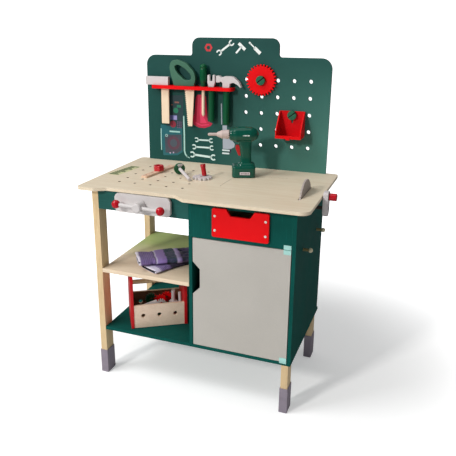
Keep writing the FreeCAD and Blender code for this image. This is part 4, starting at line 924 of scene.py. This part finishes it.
def lay_glove(mesh, cuff, angle, low, high, half, seed):
    """Marks the glove's length and width, creases it, opens its cuff and lays it in its place."""
    along = mesh.attributes.new("along", "FLOAT", "POINT")
    across = mesh.attributes.new("across", "FLOAT", "POINT")
    hollow = mesh.attributes.new("hollow", "FLOAT", "POINT")
    turn = Matrix.Rotation(math.radians(angle), 4, "Z")
    spot = at(cuff[0], cuff[1], 0)
    middle = (low + high) / 2
    for vertex in mesh.vertices:
        x = vertex.co.x / MM
        y = vertex.co.y / MM
        z = vertex.co.z / MM
        along.data[vertex.index].value = x / GLOVE_LONG
        across.data[vertex.index].value = y / GLOVE_ACROSS
        creases = noise.noise(Vector((x * 0.055 + seed, y * 0.03, 1.7)))
        ripple = noise.noise(Vector((x * 0.14, y * 0.05 + seed, 4.1)))
        z += (creases * 1.5 + ripple * 0.8) * (1 if z > middle else 0.3)
        inward = 1 - min(1.0, abs(y) / (half - 6))
        rise = (z - middle) / ((high - low) / 2)
        # The cuff's opening is pushed in and marked for its painted shade.
        if x < CUFF_REACH and inward > 0.05 and abs(rise) < CUFF_LIP:
            x += CUFF_DEEP * (1 - x / CUFF_REACH) * (1 - abs(rise))
            hollow.data[vertex.index].value = 1.0
        z = min(max(z, low + 0.25), high - 0.15)
        vertex.co = turn @ Vector((x * MM, y * MM, 0)) + spot + Vector((0, 0, z * MM))


def glove(name, cuff, angle, low, high, wide, material, seed, thumb_side):
    """A glove lying flat: cuff is its cuff's middle, angle its direction, low and high its space."""
    thing = piece(name, glove_form(wide / 2, low, high, thumb_side), material, "gloves", True)
    mould = thing.modifiers.new("mould", "REMESH")
    mould.mode = "VOXEL"
    mould.voxel_size = 2.4 * MM
    settle(thing)
    swell(thing)
    finer = thing.modifiers.new("finer", "SUBSURF")
    finer.levels = 1
    finer.render_levels = 1
    settle(thing)
    lay_glove(thing.data, cuff, angle, low, high, wide / 2, seed)
    return thing


UPPER_BANDS = [(0.0, "#F2EEF8"), (0.05, "#E6E0F0"), (0.065, "#6E5C8C"), (0.26, "#8068A4"),
               (0.28, "#3C3058"), (0.3, "#DCD4EC"), (0.32, "#9A82C4"), (0.44, "#8E72B6"),
               (0.46, "#12303E"), (0.6, "#163A48"), (0.615, "#C0B0DC"), (0.665, "#8A74AE"),
               (0.69, "#1A1E2A"), (0.84, "#3A3650"), (1.0, "#14161E")]
LOWER_BANDS = [(0.0, "#F4F0FA"), (0.13, "#DAD0EC"), (0.16, "#8C78B0"), (0.3, "#7E6AA2"),
               (0.34, "#221E30"), (1.0, "#1C1A26")]
LOWER_CLOTH = glove_cloth("glove_lower_cloth", LOWER_BANDS, (0.12, 0.3))
UPPER_CLOTH = glove_cloth("glove_upper_cloth", UPPER_BANDS, (0.08, 0.27))
SHELF_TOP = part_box("middle_shelf")[1].z / MM
glove("glove_lower", (154, 25), 62, SHELF_TOP + 0.1, SHELF_TOP + 13.1, 88, LOWER_CLOTH, 3.0, -1)
upper_glove = glove("glove_upper", (104, 52), 35, SHELF_TOP + 13.3, SHELF_TOP + 31.3, 106,
                    UPPER_CLOTH, 8.0, 1)
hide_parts("work_gloves")


# ---- Two-tone CAD nodes ----
def recolour(node, material, test):
    """Gives a CAD node's faces another material where the test holds for the face's middle."""
    thing = NODES[node]
    thing.data.materials.append(material)
    slot = len(thing.data.materials) - 1
    for face in thing.data.polygons:
        if test(face.center):
            face.material_index = slot


def within(x, y, box):
    """Whether a point lies in a box given as its left, right, front and back."""
    left, right, front, back = box
    return left < x < right and front < y < back


CRATE_TURN = math.radians(32.4)
CRATE_ACROSS, CRATE_BACK, CRATE_UP = 103, 13.5, 161.1
WHEELS_LOW = 43.5
RED_WHEELS = ((78, 117, 54, 70), (99, 138, 70.5, 90))
GREY_WHEEL = (82, 112, 36.5, 47)
TALL_BOLT = (122, 150, 38, 66)
PALE_BAR_RIGHT, PALE_BAR_BACK = 90, 21
PALE_ROD_LEFT = 150.5
CRATE_FRONT, CRATE_REAR, CRATE_FLOOR = 9.4, 100.6, 6


def crate_frame(spot):
    """A point of the scene in the tool box's own millimetres."""
    x = (spot.x - CORNER.x) / MM - CRATE_ACROSS
    y = (spot.y - CORNER.y) / MM - CRATE_BACK
    along = x * math.cos(CRATE_TURN) + y * math.sin(CRATE_TURN)
    deep = y * math.cos(CRATE_TURN) - x * math.sin(CRATE_TURN)
    return along, deep, spot.z / MM - CRATE_UP


def is_red_wheel(spot):
    x, y, z = crate_frame(spot)
    return z > WHEELS_LOW and any(within(x, y, box) for box in RED_WHEELS)


def is_grey_piece(spot):
    x, y, z = crate_frame(spot)
    grey_wheel = within(x, y, GREY_WHEEL) and z > WHEELS_LOW
    pale_bar = y < PALE_BAR_BACK and x < PALE_BAR_RIGHT
    return grey_wheel or within(x, y, TALL_BOLT) or pale_bar or x > PALE_ROD_LEFT


def is_box_inside(spot):
    y, z = crate_frame(spot)[1:]
    return CRATE_FRONT < y < CRATE_REAR and z > CRATE_FLOOR


DISC_SPOT = at(188, 200, 0)
SHANK_TURN = math.radians(-47)
DISC_HALF = 1.5


def is_disc_shank(spot):
    """The bolt's shank runs forward and right from its disc."""
    x = spot.x - DISC_SPOT.x
    y = spot.y - DISC_SPOT.y
    return x * math.cos(SHANK_TURN) + y * math.sin(SHANK_TURN) > DISC_HALF * MM


PEG_HEADS = at(616, 0, 0).x
SCREWS_LOW = 590 * MM
SCREWS_BACK = at(0, 360, 0).y
WORKTOP_LOW, WORKTOP_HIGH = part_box("worktop")
HOLES_LOW, HOLES_HIGH = at(26, 15, 0), at(300, 330, 0)


def is_peg_head(spot):
    return spot.x > PEG_HEADS


def is_worktop_screw(spot):
    return spot.z > SCREWS_LOW and spot.y < SCREWS_BACK


def is_hole_wall(spot):
    """The walls of the worktop's peg holes lie well inside its outline, between its two faces."""
    grid = (HOLES_LOW.x, HOLES_HIGH.x, HOLES_LOW.y, HOLES_HIGH.y)
    return WORKTOP_LOW.z + MM < spot.z < WORKTOP_HIGH.z - MM and within(spot.x, spot.y, grid)


GEAR_LOW, GEAR_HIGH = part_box("gear_wheel")
BIN_LOW, BIN_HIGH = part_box("hanging_bin")
GEAR_FACE, BIN_FACE = 352.5, 357.5
BIN_BOLT_DROP = 12
GEAR_BOLT = ((GEAR_LOW.x + GEAR_HIGH.x) / 2, at(0, GEAR_FACE, 0).y, (GEAR_LOW.z + GEAR_HIGH.z) / 2)
BIN_BOLT = ((BIN_LOW.x + BIN_HIGH.x) / 2, at(0, BIN_FACE, 0).y, BIN_HIGH.z - BIN_BOLT_DROP * MM)
BOLT_HALF = 15
SLOT_TURN = math.radians(38)
SLOT_DEEP = 3.2
SLOT_HALF = 1.8
BIN_SKIN = 2


def bolt_view(spot):
    """How far behind its bolt's face, and how far off its slot's middle line, a point lies, in mm."""
    for across, front, up in (GEAR_BOLT, BIN_BOLT):
        x = (spot.x - across) / MM
        z = (spot.z - up) / MM
        if abs(x) < BOLT_HALF and abs(z) < BOLT_HALF:
            return (spot.y - front) / MM, z * math.cos(SLOT_TURN) - x * math.sin(SLOT_TURN)
    return math.inf, math.inf


def is_bolt_face(spot):
    return abs(bolt_view(spot)[0]) < 0.1


def is_bolt_slot(spot):
    depth, off = bolt_view(spot)
    return 0.2 < depth < SLOT_DEEP and abs(off) < SLOT_HALF


def is_bin_inside(spot):
    skin = BIN_SKIN * MM
    across = BIN_LOW.x + skin < spot.x < BIN_HIGH.x - skin
    return across and spot.y > BIN_LOW.y + skin and BIN_LOW.z + skin < spot.z < BIN_HIGH.z - skin


# The tool box's inner faces get painted shade.
recolour("toolbox_boards", BOX_PAINTED_SHADE, is_box_inside)
recolour("toolbox_contents", PAINT_RED, is_red_wheel)
recolour("toolbox_contents", TOOL_GREY, is_grey_piece)
recolour("disc_bolt", TOOL_GREY, is_disc_shank)
# The bolts' front faces get a painted highlight.
recolour("board_bolts", BOLT_PAINTED_HIGHLIGHT, is_bolt_face)
# The bolt slots are painted near black: painted shade in the recess.
recolour("board_bolts", RECESS_PAINTED_SHADE, is_bolt_slot)
# The bin's inner faces get painted shade.
recolour("hanging_bin", BIN_PAINTED_SHADE, is_bin_inside)
recolour("side_pegs", PEG_PALE, is_peg_head)
recolour("frame_screws", PALE_WOOD, is_worktop_screw)
# The peg holes' walls get painted shade.
recolour("worktop", HOLE_PAINTED_SHADE, is_hole_wall)


# ---- Floor, lights and camera ----
FLOOR_HALF = 9.0
FLOOR_FRONT = -6.0
BEND_START = 3.5
BEND_RADIUS = 2.5
BEND_STEPS = 12
WALL_TOP = 8.0
LIFT_NEAR, LIFT_FAR = 0.5, 1.15
FLOOR_LIFT, PAPER_LIFT = 0.30, 0.85
ROOM_LIGHT = 0.30
ROOM_MIRROR = 0.10


def studio_paper():
    """Pale paper that the camera sees lifted, more so far off, and that glossy faces see dimmed."""
    f = Finish("studio_paper")
    cloud = f.noise(f.place(), 1.2, 2.0, 0.5)
    colour = f.ramp(cloud, [(0.3, tone("#F1F1F1")), (0.7, tone("#F6F6F6"))])
    material = f.done(colour, 0.9, Specular_IOR_Level=0.0)
    rays = f.add("ShaderNodeLightPath").outputs
    spot = f.add("ShaderNodeNewGeometry").outputs["Position"]
    reach = f.add("ShaderNodeVectorMath", {0: spot}, operation="LENGTH").outputs["Value"]
    fade = {"Value": reach, "From Min": LIFT_NEAR, "From Max": LIFT_FAR}
    fade.update({"To Min": FLOOR_LIFT, "To Max": PAPER_LIFT})
    level = f.add("ShaderNodeMapRange", fade, interpolation_type="SMOOTHSTEP")
    seen = f.sums("MULTIPLY", rays["Is Camera Ray"], level.outputs["Result"])
    lift = f.add("ShaderNodeEmission", {"Strength": seen})
    both = f.add("ShaderNodeAddShader", {0: f.shader.outputs["BSDF"], 1: lift.outputs["Emission"]})
    dim = f.add("ShaderNodeBsdfDiffuse", {"Color": (0.12, 0.12, 0.12, 1)})
    mixed = f.add("ShaderNodeMixShader", {0: f.sums("MULTIPLY", rays["Is Glossy Ray"], 0.75)})
    f.feed(mixed, 1, both.outputs[0])
    f.feed(mixed, 2, dim.outputs[0])
    f.tree.links.new(mixed.outputs[0], f.out.inputs["Surface"])
    return material


def studio_floor():
    """A pale floor that curves up into a backdrop."""
    mesh = bpy.data.meshes.new("studio_floor")
    rows = [(FLOOR_FRONT, 0.0), (BEND_START, 0.0)]
    for step in range(1, BEND_STEPS + 1):
        angle = math.pi / 2 * step / BEND_STEPS
        rows.append((BEND_START + BEND_RADIUS * math.sin(angle), BEND_RADIUS * (1 - math.cos(angle))))
    rows.append((BEND_START + BEND_RADIUS, WALL_TOP))
    points = []
    faces = []
    for depth, height in rows:
        points.append((-FLOOR_HALF, depth, height))
        points.append((FLOOR_HALF, depth, height))
    for index in range(len(rows) - 1):
        faces.append((2 * index, 2 * index + 1, 2 * index + 3, 2 * index + 2))
    mesh.from_pydata(points, [], faces)
    for face in mesh.polygons:
        face.use_smooth = True
    floor = bpy.data.objects.new("studio_floor", mesh)
    bpy.context.scene.collection.objects.link(floor)
    mesh.materials.append(studio_paper())


def area_light(name, where, look_at, size, power, colour):
    """A square lamp that looks at a point."""
    data = bpy.data.lights.new(name, "AREA")
    data.shape = "RECTANGLE"
    data.size = size
    data.size_y = size
    data.energy = power
    data.color = colour
    lamp = bpy.data.objects.new(name, data)
    lamp.location = where
    lamp.rotation_euler = (look_at - Vector(where)).to_track_quat("-Z", "Y").to_euler()
    bpy.context.scene.collection.objects.link(lamp)


def studio_world():
    """An even room: white to the camera, dimmer to matt faces and dimmer still in reflections."""
    world = bpy.data.worlds.new("studio")
    bpy.context.scene.world = world
    world.use_nodes = True
    nodes = world.node_tree.nodes
    links = world.node_tree.links
    rays = nodes.new("ShaderNodeLightPath")
    level = nodes.new("ShaderNodeMapRange")
    level.inputs["To Min"].default_value = ROOM_LIGHT
    level.inputs["To Max"].default_value = ROOM_MIRROR
    links.new(rays.outputs["Is Glossy Ray"], level.inputs["Value"])
    seen = nodes.new("ShaderNodeMath")
    seen.operation = "MAXIMUM"
    links.new(level.outputs["Result"], seen.inputs[0])
    links.new(rays.outputs["Is Camera Ray"], seen.inputs[1])
    background = nodes["Background"]
    background.inputs["Color"].default_value = (0.98, 0.99, 1.0, 1)
    links.new(seen.outputs[0], background.inputs["Strength"])


studio_floor()
studio_world()

MIDDLE = Vector((0, 0, 0.6))
LAMPS = [
    ("key", (-1.5, -3.3, 2.3), 0.45, 76, (1.0, 0.985, 0.96)),
    ("left", (-1.9, -1.4, 3.4), 1.3, 58, (0.98, 0.99, 1.0)),
    ("overhead", (-0.2, -0.2, 3.6), 2.2, 14, (1.0, 1.0, 1.0)),
]
for lamp_name, lamp_spot, lamp_size, lamp_power, lamp_colour in LAMPS:
    area_light(lamp_name, lamp_spot, MIDDLE, lamp_size, lamp_power, lamp_colour)

CAMERA_SPOT = at(910.5, -1414.2, 1058.5)
CAMERA_YAW = math.radians(21.41)
CAMERA_PITCH = math.radians(18.19)
camera_data = bpy.data.cameras.new("camera")
camera_data.sensor_width = 36.0
camera_data.lens = 47.2
camera_data.shift_x = 0.0451
camera_data.shift_y = -0.0270
camera = bpy.data.objects.new("camera", camera_data)
camera.location = CAMERA_SPOT
camera.rotation_euler = (math.pi / 2 - CAMERA_PITCH, 0, CAMERA_YAW)
bpy.context.scene.collection.objects.link(camera)
bpy.context.scene.camera = camera
bpy.context.scene.view_settings.view_transform = "Standard"
